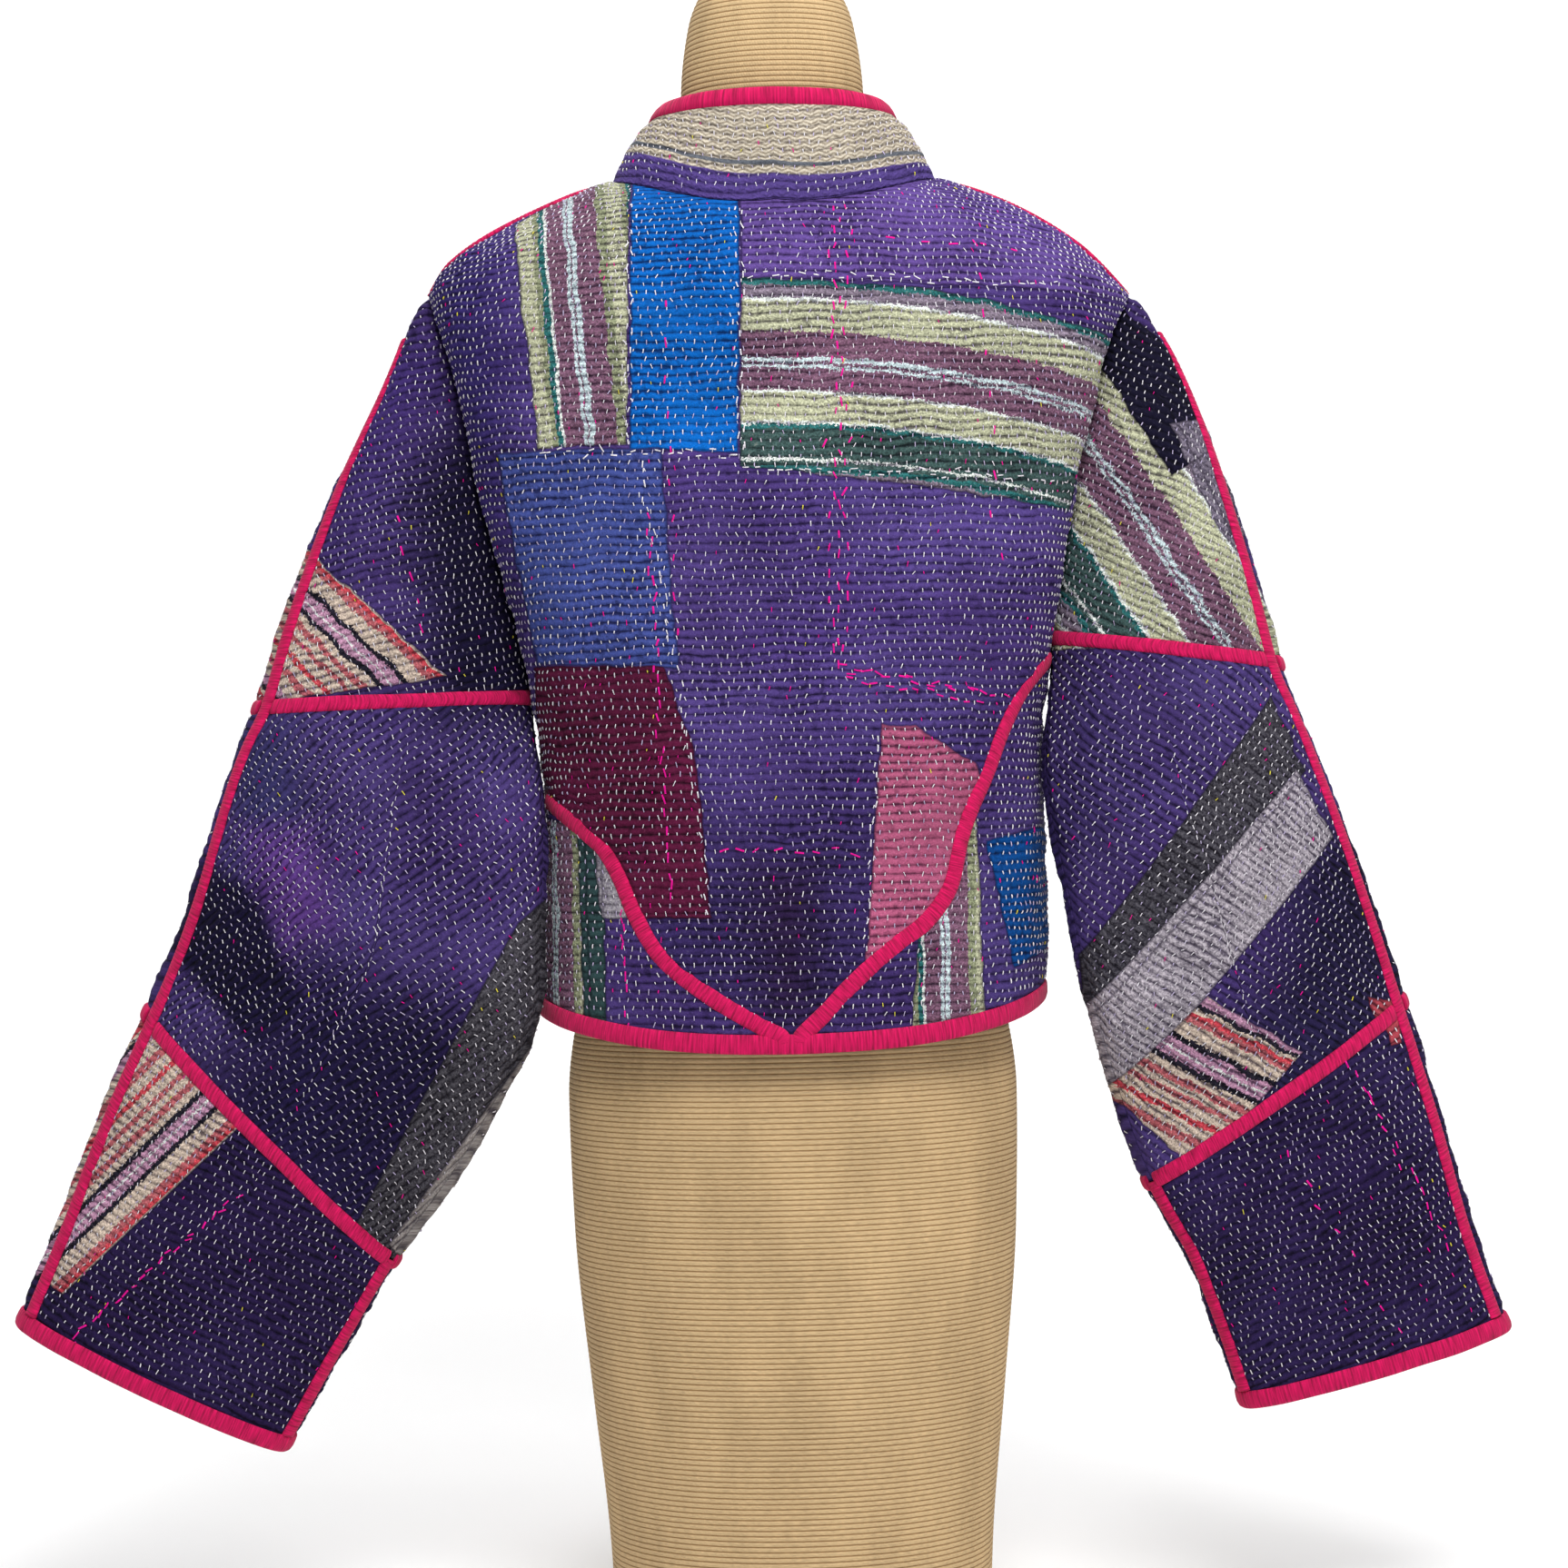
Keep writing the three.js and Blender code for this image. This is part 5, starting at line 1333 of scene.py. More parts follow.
def twine_group():
    """Loose fibres and uneven strands of wound jute twine."""
    def build(n, given):
        around, up, _ = n.split(n.scaled(given["Cloth"], 1 / MM))
        coil = n.math("FRACT", up)
        strand = n.join(n.math("MULTIPLY", around, 0.16), n.math("MULTIPLY", up, 5.0), 0.0)
        fibre = n.noise(strand, 1.6, 4.0, 0.7)
        ply = n.math("SINE", n.total((around, 2.2), (coil, 5.0)))
        gap = n.math("ABSOLUTE", n.math("SUBTRACT", n.math("MULTIPLY", coil, 2.0), 1.0))
        gap = n.map(gap, 0.55, 1.0, 0.0, 1.0, True)
        patchy = n.noise(given["Cloth"], 30.0, 3.0, 0.6)
        tone = n.map(n.total((fibre, 0.7), (patchy, 0.3)), 0.32, 0.68, 0.62, 1.32)
        colour = n.toned(given["Color"], tone)
        # Painted shade: darker in the gaps between the coils.
        shaded = n.mix(1.0, colour, (0.42, 0.33, 0.24), "MULTIPLY")
        return {"Color": n.mix(gap, colour, shaded),
                "Height": n.total((fibre, 0.35), (ply, 0.06), (gap, -0.2))}

    return effect_group("Wound Twine", [
        ("Color", "colour", (0.6, 0.42, 0.24)), ("Cloth", "vector", (0, 0, 0))],
        [("Color", "colour"), ("Height", "value")], build)


def new_material(name):
    """A new material's node builder and its Principled shader."""
    material = bpy.data.materials.new(name)
    material.use_nodes = True
    tree = material.node_tree
    shader = next(node for node in tree.nodes if node.type == "BSDF_PRINCIPLED")
    return Nodes(tree), shader


def uv_of(nodes, name):
    node = nodes.tree.nodes.new("ShaderNodeUVMap")
    node.uv_map = name
    return node.outputs[0]


def place_of(nodes):
    return nodes.add("ShaderNodeTexCoord").outputs["Object"]


def finish_shader(nodes, shader, colour, height, distance, roughness=0.95, sheen=0.0):
    """Links a colour and a height to the shader of a dull, fibrous material."""
    nodes.put(shader.inputs["Base Color"], colour)
    shader.inputs["Roughness"].default_value = roughness
    shader.inputs["Specular IOR Level"].default_value = 0.12
    shader.inputs["Sheen Weight"].default_value = sheen
    shader.inputs["Sheen Roughness"].default_value = 0.6
    bump = nodes.add("ShaderNodeBump", Height=height, Strength=1.0, Distance=distance)
    nodes.put(shader.inputs["Normal"], bump.outputs[0])


# ------------------------------------------------------------ the patchwork
PATCH_EDGES = 5
QUILT_BUMP = 1.1 * MM
LEVEL_REPEAT = 111  # mm that the level stripes take up
TEAL, PLUM, ICE = (0.02, 0.12, 0.12), (0.165, 0.080, 0.130), (0.46, 0.56, 0.58)
CREAM, OLIVE, PINE = (0.41, 0.42, 0.28), (0.23, 0.25, 0.15), (0.040, 0.078, 0.074)
PALE, GREY_PLUM, RED = (0.62, 0.66, 0.62), (0.20, 0.16, 0.21), (0.50, 0.05, 0.07)
BLACK, MAUVE, BEIGE = (0.012, 0.010, 0.02), (0.42, 0.22, 0.33), (0.52, 0.42, 0.34)
CORAL = (0.40, 0.10, 0.115)
# Stripes: where each starts across a repeat, from 0 to 1, and its colour.
LEVEL_STRIPES = (
    (0, TEAL), (0.035, GREY_PLUM), (0.10, PALE), (0.118, CREAM), (0.28, PLUM), (0.42, ICE),
    (0.445, PLUM), (0.46, ICE), (0.475, PLUM), (0.595, PALE), (0.61, CREAM), (0.76, PALE),
    (0.775, TEAL), (0.80, PINE), (0.955, PALE), (0.97, PINE))
UPRIGHT_STRIPES = (
    (0, CREAM), (0.07, OLIVE), (0.13, TEAL), (0.19, PALE), (0.22, PLUM), (0.42, ICE),
    (0.46, PLUM), (0.475, ICE), (0.53, PLUM), (0.78, OLIVE), (0.88, CREAM))
CORAL_STRIPES = (
    (0, RED), (0.03, CORAL), (0.08, BEIGE), (0.18, BLACK), (0.215, MAUVE), (0.27, PALE),
    (0.285, MAUVE), (0.33, BLACK), (0.37, BEIGE), (0.42, CORAL), (0.47, BEIGE), (0.52, CORAL),
    (0.56, BEIGE), (0.63, RED), (0.67, BEIGE), (0.74, CORAL), (0.80, BEIGE), (0.88, MAUVE),
    (0.94, BLACK), (0.97, BEIGE))


def across_axis(x1, z1, x2, z2, repeat=1.0):
    """A stripe axis from 0 at the first place to one repeat (1) at the second, or a
    little short of it where the repeat is longer."""
    dx, dz = x2 - x1, z2 - z1
    long = (dx * dx + dz * dz) * repeat
    return dx / long, dz / long, -(x1 * dx + z1 * dz) / long


def leaning_axis(x, z, value, way, repeat):
    """A stripe axis with a value at a place, along a way, over a repeat in mm."""
    dx, dz = way
    return dx / repeat, dz / repeat, value - (x * dx + z * dz) / repeat


# A patch: its corners (x, z) in mm, then a colour, two yarn colours, or a stripe set
# with its axis and the place and amount of its bend. A soft one has a colour and the
# mm over which it fades, and has no border. Most soft ones are painted shade; the
# rest are darker and lighter areas of the cloth.
BACK_PATCHES = (
    # Painted shade: the lower back darker towards the hem.
    ("soft", ((260, 520), (-260, 520), (-260, 300), (260, 300)), (0.030, 0.017, 0.086), 90),
    # Painted shade: darker beside the left armhole.
    ("soft", ((260, 860), (165, 860), (155, 560), (260, 560)), (0.028, 0.017, 0.115), 30),
    # Painted shade: darker in the crease down the middle, above the hem.
    ("soft", ((20, 470), (-14, 470), (-12, 380), (14, 380)), (0.020, 0.008, 0.044), 20),
    ("plain", ((20, 920), (-230, 920), (-230, 806), (20, 816)), (0.095, 0.052, 0.220)),
    ("stripes", ((157, 862), (86, 905), (89, 720), (142, 720)), UPRIGHT_STRIPES,
     across_axis(143, 782, 88, 787), 0, 0),
    ("stripes", ((21, 817), (-90, 809), (-205, 784), (-173, 679), (23, 705)), LEVEL_STRIPES,
     across_axis(0, 816, 0, 816 - LEVEL_REPEAT), 23, 0.00065 / LEVEL_REPEAT),
    ("plain", ((85, 905), (20, 900), (24, 713), (87, 717)), (0.001, 0.100, 0.400)),
    ("plain", ((168, 719), (70, 717), (61, 588), (148, 593)), (0.046, 0.066, 0.250)),
    ("plain", ((150, 592), (70, 589), (53, 540), (45, 442), (150, 442)), (0.082, 0.006, 0.032)),
    ("plain", ((-56, 553), (-75, 551), (-112, 529), (-140, 440), (-43, 405)),
     (0.350, 0.080, 0.160)),
)
SIDE_PATCHES = (
    ("stripes", ((170, 500), (120, 500), (118, 366), (170, 366)), UPRIGHT_STRIPES,
     across_axis(158, 430, 120, 430), 0, 0),
    ("plain", ((125, 500), (110, 484), (108, 366), (122, 366)), (0.022, 0.050, 0.052)),
    ("heather", ((114, 483), (96, 469), (95, 442), (111, 442)), (0.36, 0.34, 0.36),
     (0.18, 0.16, 0.2)),
    ("stripes", ((-80, 480), (-111, 497), (-114, 374), (-69, 367)), UPRIGHT_STRIPES,
     across_axis(-68, 430, -115, 430), 0, 0),
    ("plain", ((-117, 483), (-165, 493), (-167, 420), (-133, 408)), (0.001, 0.055, 0.230)),
)
FRONT_PATCHES = (
    # Painted shade: the lower front darker towards the hem.
    ("soft", ((260, 520), (-260, 520), (-260, 300), (260, 300)), (0.050, 0.024, 0.115), 90),
    ("stripes", ((130, 800), (40, 812), (44, 690), (126, 700)), LEVEL_STRIPES,
     across_axis(0, 812, 0, 694), 0, 0),
    ("plain", ((-38, 790), (-128, 780), (-124, 640), (-34, 650)), (0.046, 0.066, 0.250)),
    ("plain", ((-60, 560), (-140, 548), (-130, 440), (-52, 430)), (0.380, 0.060, 0.150)),
    ("stripes", ((120, 600), (56, 606), (50, 470), (112, 476)), UPRIGHT_STRIPES,
     across_axis(116, 540, 54, 540), 0, 0),
    ("plain", ((-30, 470), (-90, 462), (-88, 396), (-30, 392)), (0.110, 0.014, 0.044)),
)
LEFT_SLEEVE_PATCHES = (
    # Painted shade: near-black under the arm, beside the body.
    ("soft", ((150, 820), (222, 700), (215, 560), (130, 560)), (0.005, 0.003, 0.020), 26),
    ("soft", ((250, 800), (430, 500), (400, 470), (210, 780)), (0.040, 0.020, 0.130), 30),
    ("stripes", ((288, 668), (204, 588), (340, 571), (340, 668)), CORAL_STRIPES,
     across_axis(284, 663, 341, 604), 0, 0),
    ("soft", ((340, 560), (300, 565), (285, 500), (330, 480)), (0.030, 0.026, 0.105), 22),
    ("soft", ((325, 497), (285, 500), (270, 440), (300, 428)), (0.088, 0.034, 0.190), 16),
    ("soft", ((354, 484), (317, 458), (288, 392), (319, 366), (376, 428)),
     (0.005, 0.003, 0.022), 7),
    # Darker lower on the sleeve: painted shade over the cloth's own darker tone.
    ("soft", ((280, 420), (160, 380), (250, 230), (370, 330)), (0.010, 0.006, 0.038), 36),
    ("heather", ((128, 468), (160, 440), (262, 262), (232, 222), (100, 398)), (0.070, 0.066, 0.078),
     (0.020, 0.018, 0.024)),
    ("heather", ((134, 394), (244, 248), (226, 218), (112, 372)), (0.30, 0.28, 0.27),
     (0.16, 0.14, 0.14)),
    ("stripes", ((398, 398), (330, 322), (442, 221), (480, 240)), CORAL_STRIPES,
     across_axis(336, 318, 392, 380), 0, 0),
)
RIGHT_SLEEVE_PATCHES = (
    # Painted shade: darker beside the underarm.
    ("soft", ((-190, 600), (-150, 600), (-150, 470), (-190, 470)), (0.030, 0.018, 0.085), 26),
    ("stripes", ((-176, 790), (-236, 742), (-312, 590), (-160, 598)), LEVEL_STRIPES,
     leaning_axis(-203, 697, 0.45, (0.846, -0.533), LEVEL_REPEAT), 0, 0),
    # Dark navy cloth, made near-black as painted shade of a fold.
    ("plain", ((-186, 826), (-262, 760), (-262, 716), (-236, 700), (-194, 772)),
     (0.005, 0.004, 0.016)),
    ("heather", ((-236, 732), (-264, 738), (-288, 640), (-262, 672)), (0.20, 0.17, 0.22),
     (0.07, 0.06, 0.09)),
    # Darker lower on the sleeve: painted shade over the cloth's own darker tone.
    ("soft", ((-300, 470), (-350, 500), (-400, 380), (-270, 330)), (0.009, 0.006, 0.030), 30),
    ("soft", ((-250, 360), (-420, 420), (-440, 200), (-260, 200)), (0.016, 0.011, 0.050), 30),
    ("heather", ((-293, 566), (-312, 520), (-174, 372), (-172, 414)), (0.070, 0.066, 0.080),
     (0.018, 0.016, 0.024)),
    ("heather", ((-307, 522), (-328, 480), (-186, 322), (-176, 384)), (0.42, 0.38, 0.42),
     (0.17, 0.15, 0.18)),
    ("stripes", ((-246, 388), (-304, 353), (-240, 284), (-186, 332)), CORAL_STRIPES,
     across_axis(-252, 372, -214, 300, 1.1), 0, 0),
    ("plain", ((-346, 384), (-366, 380), (-368, 356), (-360, 354)), (0.36, 0.05, 0.07)),
)


def border_of(corners):
    """The border lines (nx, nz, -d), positive inside, of up to five corners. The last
    one is repeated where there are fewer."""
    middle = np.mean(corners, 0)
    lines = []
    for (x1, z1), (x2, z2) in zip(corners, corners[1:] + corners[:1]):
        long = math.hypot(x2 - x1, z2 - z1)
        nx, nz = (z2 - z1) / long, -(x2 - x1) / long
        d = nx * x1 + nz * z1
        sign = 1 if nx * middle[0] + nz * middle[1] > d else -1
        lines.append((sign * nx, sign * nz, -sign * d))
    return (lines + [lines[-1]] * PATCH_EDGES)[:PATCH_EDGES]


def patch_colour(n, kind, fill, place, cloth):
    """The colour of a patch's cloth, from its kind and the rest of its row."""
    if kind == "stripes":
        stops, axis, start, bend = fill
        across = n.use(stripe_group(), Place=place, Axis=axis, Bend_Start=start,
                       Bend=bend)["Across"]
        streak = n.map(n.noise(cloth, 620.0, 2.0, 0.6), 0.3, 0.7, -0.012, 0.012)
        stripe_colour = n.ramp(n.math("ADD", across, streak), stops)
        return n.use(speckle_group(), Color=stripe_colour, Cloth=cloth)["Color"]
    if kind == "heather":
        return n.use(heather_group(), One=fill[0], Two=fill[1], Cloth=cloth)["Color"]
    return fill[0]


def quilt_material(name, base, patches):
    """Kantha quilt: a base cloth with patches laid over it in order, each a little
    raised inside a sunk seam."""
    n, shader = new_material(name)
    cloth = uv_of(n, "cloth")
    where = n.scaled(place_of(n), 1 / MM)
    drift = n.math("MULTIPLY", n.math("SUBTRACT", n.noise(where, 0.07, 2.0, 0.5), 0.5), 5.0)
    x, _, z = n.split(where)
    place = n.join(n.math("ADD", x, drift), n.math("SUBTRACT", z, drift), 1.0)
    blend = n.map(n.noise(where, 0.011, 2.0, 0.5), 0.38, 0.62)
    deeper = tuple(v * k for v, k in zip(base, (0.72, 0.62, 0.74)))
    colour = n.mix(blend, base, deeper)
    relief = n.use(relief_group(), Quilt=uv_of(n, "quilt"), Cloth=cloth)
    height, seam = relief["Height"], 0.0
    for kind, corners, *fill in patches:
        edges = {f"Edge_{k + 1}": edge for k, edge in enumerate(border_of(corners))}
        patch = n.use(patch_group(), Place=place, **edges)
        # Soft patches blend in over their fade: mostly painted shade, the rest darker and lighter areas of the cloth.
        if kind == "soft":
            painted_shade_and_tone, fade = fill
            share = n.map(patch["Depth"], -fade, fade, 0.0, 1.0, True)
            colour = n.mix(share, colour, painted_shade_and_tone)
            continue
        colour = n.mix(patch["Mask"], colour, patch_colour(n, kind, fill, place, cloth))
        # Painted shade along each patch's sunk seam.
        line = n.math("ABSOLUTE", n.math("SUBTRACT", patch["Depth"], 0.2))
        seam = n.math("MAXIMUM", seam, n.map(line, 0.3, 1.5, 1.0, 0.0))
        height = n.math("ADD", height, n.math("MULTIPLY", n.map(patch["Depth"], -0.4, 0.8), 0.35))
    # The grooves' and the seams' painted shade together.
    groove = n.math("MAXIMUM", relief["Groove"], n.math("MULTIPLY", seam, 0.8))
    worn_and_shaded = n.use(cotton_group(), Color=colour, Cloth=cloth, Groove=groove)["Color"]
    finish_shader(n, shader, worn_and_shaded, height, QUILT_BUMP)


def collar_material(purple):
    """The collar: purple at its foot, then a grey stripe and cream herringbone weave."""
    n, shader = new_material("Collar Cloth")
    cloth = uv_of(n, "cloth")
    x, up, _ = n.split(n.scaled(cloth, 1 / MM))
    up = n.math("MULTIPLY_ADD", n.noise(cloth, 60.0, 2.0, 0.5), 1.5, up)
    slant = n.math("MULTIPLY_ADD", x, 0.045, up)
    zig = n.math("PINGPONG", n.math("MULTIPLY", x, 0.22), 1.0)
    rib = n.math("SINE", n.total((up, 2.4), (zig, 5.0)))
    weave = n.math("MULTIPLY_ADD", rib, 0.25, n.noise(cloth, 500.0, 3.0, 0.7))
    cream = n.mix(n.map(weave, 0.15, 0.9), (0.22, 0.18, 0.13), (0.62, 0.56, 0.45))
    in_stripe = n.math("MULTIPLY", n.map(slant, 21.5, 22.3), n.map(slant, 24.2, 25.0, 1.0, 0.0))
    colour = n.mix(in_stripe, cream, (0.10, 0.11, 0.13))
    colour = n.mix(n.map(slant, 16.4, 17.4, 1.0, 0.0), colour, purple)
    relief = n.use(relief_group(), Quilt=uv_of(n, "quilt"), Cloth=cloth)
    worn_and_shaded = n.use(cotton_group(), Color=colour, Cloth=cloth, Groove=relief["Groove"],
                 Groove_Depth=0.6, Fleck=0.05)["Color"]
    height = n.math("MULTIPLY_ADD", rib, 0.10, relief["Height"])
    finish_shader(n, shader, worn_and_shaded, height, QUILT_BUMP)


def thread_material(name, colour):
    """Cotton thread, slightly uneven in tone."""
    n, shader = new_material(name)
    where = place_of(n)
    tone = n.map(n.noise(where, 700.0, 2.0, 0.6), 0.3, 0.7, 0.7, 1.15)
    finish_shader(n, shader, n.toned(colour, tone), n.noise(where, 2500.0, 2.0, 0.6),
                  0.15 * MM, roughness=0.75)


def tape_material(colour):
    """Gathered cotton tape."""
    n, shader = new_material("Tape Cloth")
    look = n.use(gather_group(), Color=colour, Cloth=uv_of(n, "cloth"))
    finish_shader(n, shader, look["Color"], look["Height"], 0.9 * MM, roughness=0.8,
                  sheen=0.05)


def twine_material(colour):
    """Wound jute twine."""
    n, shader = new_material("Jute Twine")
    look = n.use(twine_group(), Color=colour, Cloth=uv_of(n, "cloth"))
    finish_shader(n, shader, look["Color"], look["Height"], 0.7 * MM, roughness=0.9)


def stage_material():
    """Pale paper for the backdrop."""
    n, shader = new_material("Studio Paper")
    where = place_of(n)
    tone = n.map(n.noise(where, 2.0, 2.0, 0.5), 0.3, 0.7, 0.86, 0.9)
    finish_shader(n, shader, n.join(tone, tone, tone), n.noise(where, 900.0, 2.0, 0.5),
                  0.05 * MM)
    return bpy.data.materials["Studio Paper"]


def materials():
    """All the object's materials, built once and kept by name."""
    if bpy.data.materials.get("Tape Cloth") is None:
        look = bpy.context.scene.kantha_colours
        purple, deep = tuple(look.purple), tuple(look.deep_purple)
        # Painted shade: the side panels, under the arms, take a darker copy of the purple, and the sleeves a darker
        # one still.
        darker, sleeve = (tuple(v * k for v in purple) for k in (0.8, 0.72))
        quilt_material("Back Quilt", purple, BACK_PATCHES)
        quilt_material("Front Quilt", purple, FRONT_PATCHES)
        quilt_material("Side Quilt", darker, SIDE_PATCHES)
        quilt_material("Left Sleeve Quilt", sleeve, LEFT_SLEEVE_PATCHES)
        quilt_material("Right Sleeve Quilt", sleeve, RIGHT_SLEEVE_PATCHES)
        # The lower sleeves' dark cloth has only the last of the patches.
        quilt_material("Left Cuff Quilt", deep, LEFT_SLEEVE_PATCHES[-1:])
        quilt_material("Right Cuff Quilt", deep, RIGHT_SLEEVE_PATCHES[-1:])
        collar_material(purple)
        tape_material(tuple(look.tape))
        twine_material(tuple(look.twine))
        thread_material("Cream Thread", tuple(look.thread))
        thread_material("Lilac Thread", (0.46, 0.40, 0.58))
        thread_material("Magenta Thread", tuple(look.accent))
        thread_material("Yellow Thread", (0.62, 0.55, 0.06))
    return bpy.data.materials


THREADS = ("Cream Thread", "Lilac Thread", "Magenta Thread", "Yellow Thread")


def threads():
    """The threads' materials, in the order of the stitches' kinds."""
    return [materials()[name] for name in THREADS]


# ------------------------------------------------------------ pieces of the jacket
PANELS = {}  # finished panels, kept for the bindings that follow their edges
FINE, COARSE = 1.0, 1.42  # the front is on a coarser grid than the back
COLLAR_FINE = 0.8


def add_panel(panel, material, held, seed, accents=()):
    """A quilted panel with its stitches, declared as a sheet."""
    sizes = bpy.context.scene.kantha_quilt
    cloth = make_cloth(panel, sizes, materials()[material])
    extra = [make_stitches(panel, sizes, seed)]
    if accents:
        extra.append(make_accent_lines(panel, accents, seed + 50))
    declare_sheet(cloth, panel, held, extra)
    PANELS[panel.name] = panel


def declare_sheet(cloth, panel, held, extra):
    """Says how large a panel's cloth is when it lies flat, measured on its grid."""
    points = panel.points
    on, up = points[:-1, 1:] - points[:-1, :-1], points[1:, :-1] - points[:-1, :-1]
    area = float(np.linalg.norm(np.cross(on, up), axis=-1).sum()) * MM * MM
    width = float(running_length(points, 1)[:, -1].max()) * MM
    length = float(running_length(points, 0)[-1].max()) * MM
    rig.sheet(cloth, flat=(width, length), held=held, rests_on=["dress_form"],
             area=max(area, 0.301 * width * length), with_pieces=extra)


# Lines of longer stitches: from (x1, z1) to (x2, z2), spacing in mm, and the thread.
BACK_ACCENTS = (
    (-34, 868, -28, 588, 15.5, 2), (-38, 860, -32, 580, 15.5, 2), (-42, 868, -36, 588, 15.5, 2),
    (-29, 586, -133, 568, 6.0, 2), (-34, 580, -118, 564, 8.0, 2), (46, 482, -46, 480, 12.0, 2),
    (78, 681, 69, 450, 8.0, 2), (66, 812, 62, 600, 22.0, 2), (-120, 850, -128, 640, 24.0, 2),
    (-60, 842, -150, 832, 20.0, 2), (85, 866, 88, 718, 6.0, 0), (21, 864, 24, 714, 6.0, 0),
    (82, 712, 64, 592, 7.0, 0), (145, 718, 24, 711, 6.5, 0), (62, 590, 46, 444, 7.5, 0),
    (-54, 548, -44, 420, 7.5, 0), (24, 704, -172, 696, 6.5, 0), (18, 818, -170, 812, 7.5, 0))
SLEEVE_ACCENTS = {
    ("left", "lower", "back"): ((330, 282, 441, 191, 7.0, 2),),
    ("right", "lower", "back"): ((-329, 355, -395, 228, 7.5, 2), (-290, 300, -372, 160, 18.0, 2)),
    ("left", "upper", "back"): ((236, 690, 216, 610, 16.0, 2),),
    ("left", "lower", "front"): ((330, 282, 441, 191, 9.0, 2),),
}
SIDE_ACCENTS = {"left": ((98, 450, 94, 378, 5.5, 2),), "right": ((-150, 520, -148, 440, 14.0, 2),)}
FRONT_ACCENTS = {"left": ((60, 640, 56, 420, 9.0, 2), (120, 660, 60, 652, 10.0, 0)),
                 "right": ((-80, 640, -74, 580, 9.0, 2), (-30, 620, -130, 610, 10.0, 2))}


def grid_size():
    """The sidebar's size of the cloth's faces, in mm."""
    return bpy.context.scene.kantha_quilt.grid / MM


def build_body():
    """The back, the fronts and the side panels."""
    grid = grid_size()
    add_panel(back_panel(grid * FINE), "Back Quilt", "draped", 11, BACK_ACCENTS)
    for k, side in enumerate(SIDES):
        add_panel(front_panel(side, grid * COARSE), "Front Quilt", "draped", 21 + k,
                  FRONT_ACCENTS[side])
        add_panel(side_panel(side, grid * FINE), "Side Quilt", "draped", 31 + k,
                  SIDE_ACCENTS[side])


def build_sleeves():
    """Both faces of each sleeve's three pieces."""
    grid = grid_size()
    seed = 41
    for side in SIDES:
        for part in SLEEVE_PARTS:
            for face in FACES:
                seed += 1
                fine = FINE if face == "back" else COARSE
                look = "Cuff Quilt" if part == "lower" else "Sleeve Quilt"
                add_panel(sleeve_panel(side, part, face, grid * fine),
                          f"{side.title()} {look}", "hung", seed,
                          SLEEVE_ACCENTS.get((side, part, face), ()))


def build_collar():
    """The stand collar, on the finest grid."""
    sizes = bpy.context.scene.kantha_quilt
    panel = collar_panel(grid_size() * COLLAR_FINE)
    cloth = make_cloth(panel, sizes, materials()["Collar Cloth"], slot="collar")
    declare_sheet(cloth, panel, "draped", [make_stitches(panel, sizes, 71)])
    PANELS[panel.name] = panel


def edge_of(name, which):
    """A panel's border line, and the third line of points inwards from it."""
    points = PANELS[name].points
    lines = {"bottom": points, "top": points[::-1],
             "first": points.swapaxes(0, 1), "last": points[:, ::-1].swapaxes(0, 1)}[which]
    return lines[0], lines[3]


SHOULDER_TAPE_ROWS = 0.42  # from the ridge to the shoulder tape's edge
SLEEVE_TAPE_END = 2.93  # in t, above the cuff's binding


def build_tapes():
    """A tape over each seam: its line, the lines to each side, the way it faces, its
    seed and the mm cut off its ends."""
    tape = materials()["Tape Cloth"]
    for k, side in enumerate(SIDES):
        seed = 100 + 20 * k
        angle = np.linspace(0, angle_of_share(NECK_HALF_WIDTH / tip_width(side)), 90)
        top = np.full(len(angle), float(TOP_ROW))
        beside = top - SHOULDER_TAPE_ROWS
        make_tape(f"shoulder_tape_{side}", body_point(side, 1, angle, top),
                  body_point(side, 1, angle, beside), body_point(side, -1, angle, beside),
                  (0, 0, 1), tape, seed, (1, 1))
        rows = np.linspace(0.5, SEAM_TOP_ROW[side] - 0.3, 160)
        back = body_line(side, 1, seam_angle(side, rows), rows)
        front = body_line(side, -1, FRONT_SEAM_REACH * seam_angle(side, rows), rows)
        make_tape(f"curved_tape_back_{side}", *back, (0, 1, 0), tape, seed + 1, (0, 3))
        make_tape(f"curved_tape_front_{side}", *front, (0, -1, 0), tape, seed + 2, (2, 3))
        t = np.linspace(0.1, SLEEVE_TAPE_END, 400)
        make_tape(f"outer_sleeve_tape_{side}", *seam_line(side, t, np.zeros_like(t), "s+"),
                  (SIGN[side], 0.6, 0.4), tape, seed + 3, (2, 1))
        t = np.linspace(2.0, SLEEVE_TAPE_END, 200)
        make_tape(f"underarm_tape_{side}", *seam_line(side, t, np.ones_like(t), "s-"),
                  (-SIGN[side], 0.5, -0.4), tape, seed + 4, (0, 1))
        for face_name, face in FACES.items():
            for cut, label in ((1.0, "high"), (2.0, "low")):
                s = np.linspace(0.004, 0.99, 170)
                t = np.full(len(s), cut)
                make_tape(f"{label}_cross_tape_{side}_{face_name}", sleeve_point(side, face, t, s),
                          sleeve_neighbour(side, face, t, s, "t+"),
                          sleeve_neighbour(side, face, t, s, "t-"), (0, face, 0), tape,
                          seed + 5 + (face > 0) + 2 * (label == "high"), (5, 1))


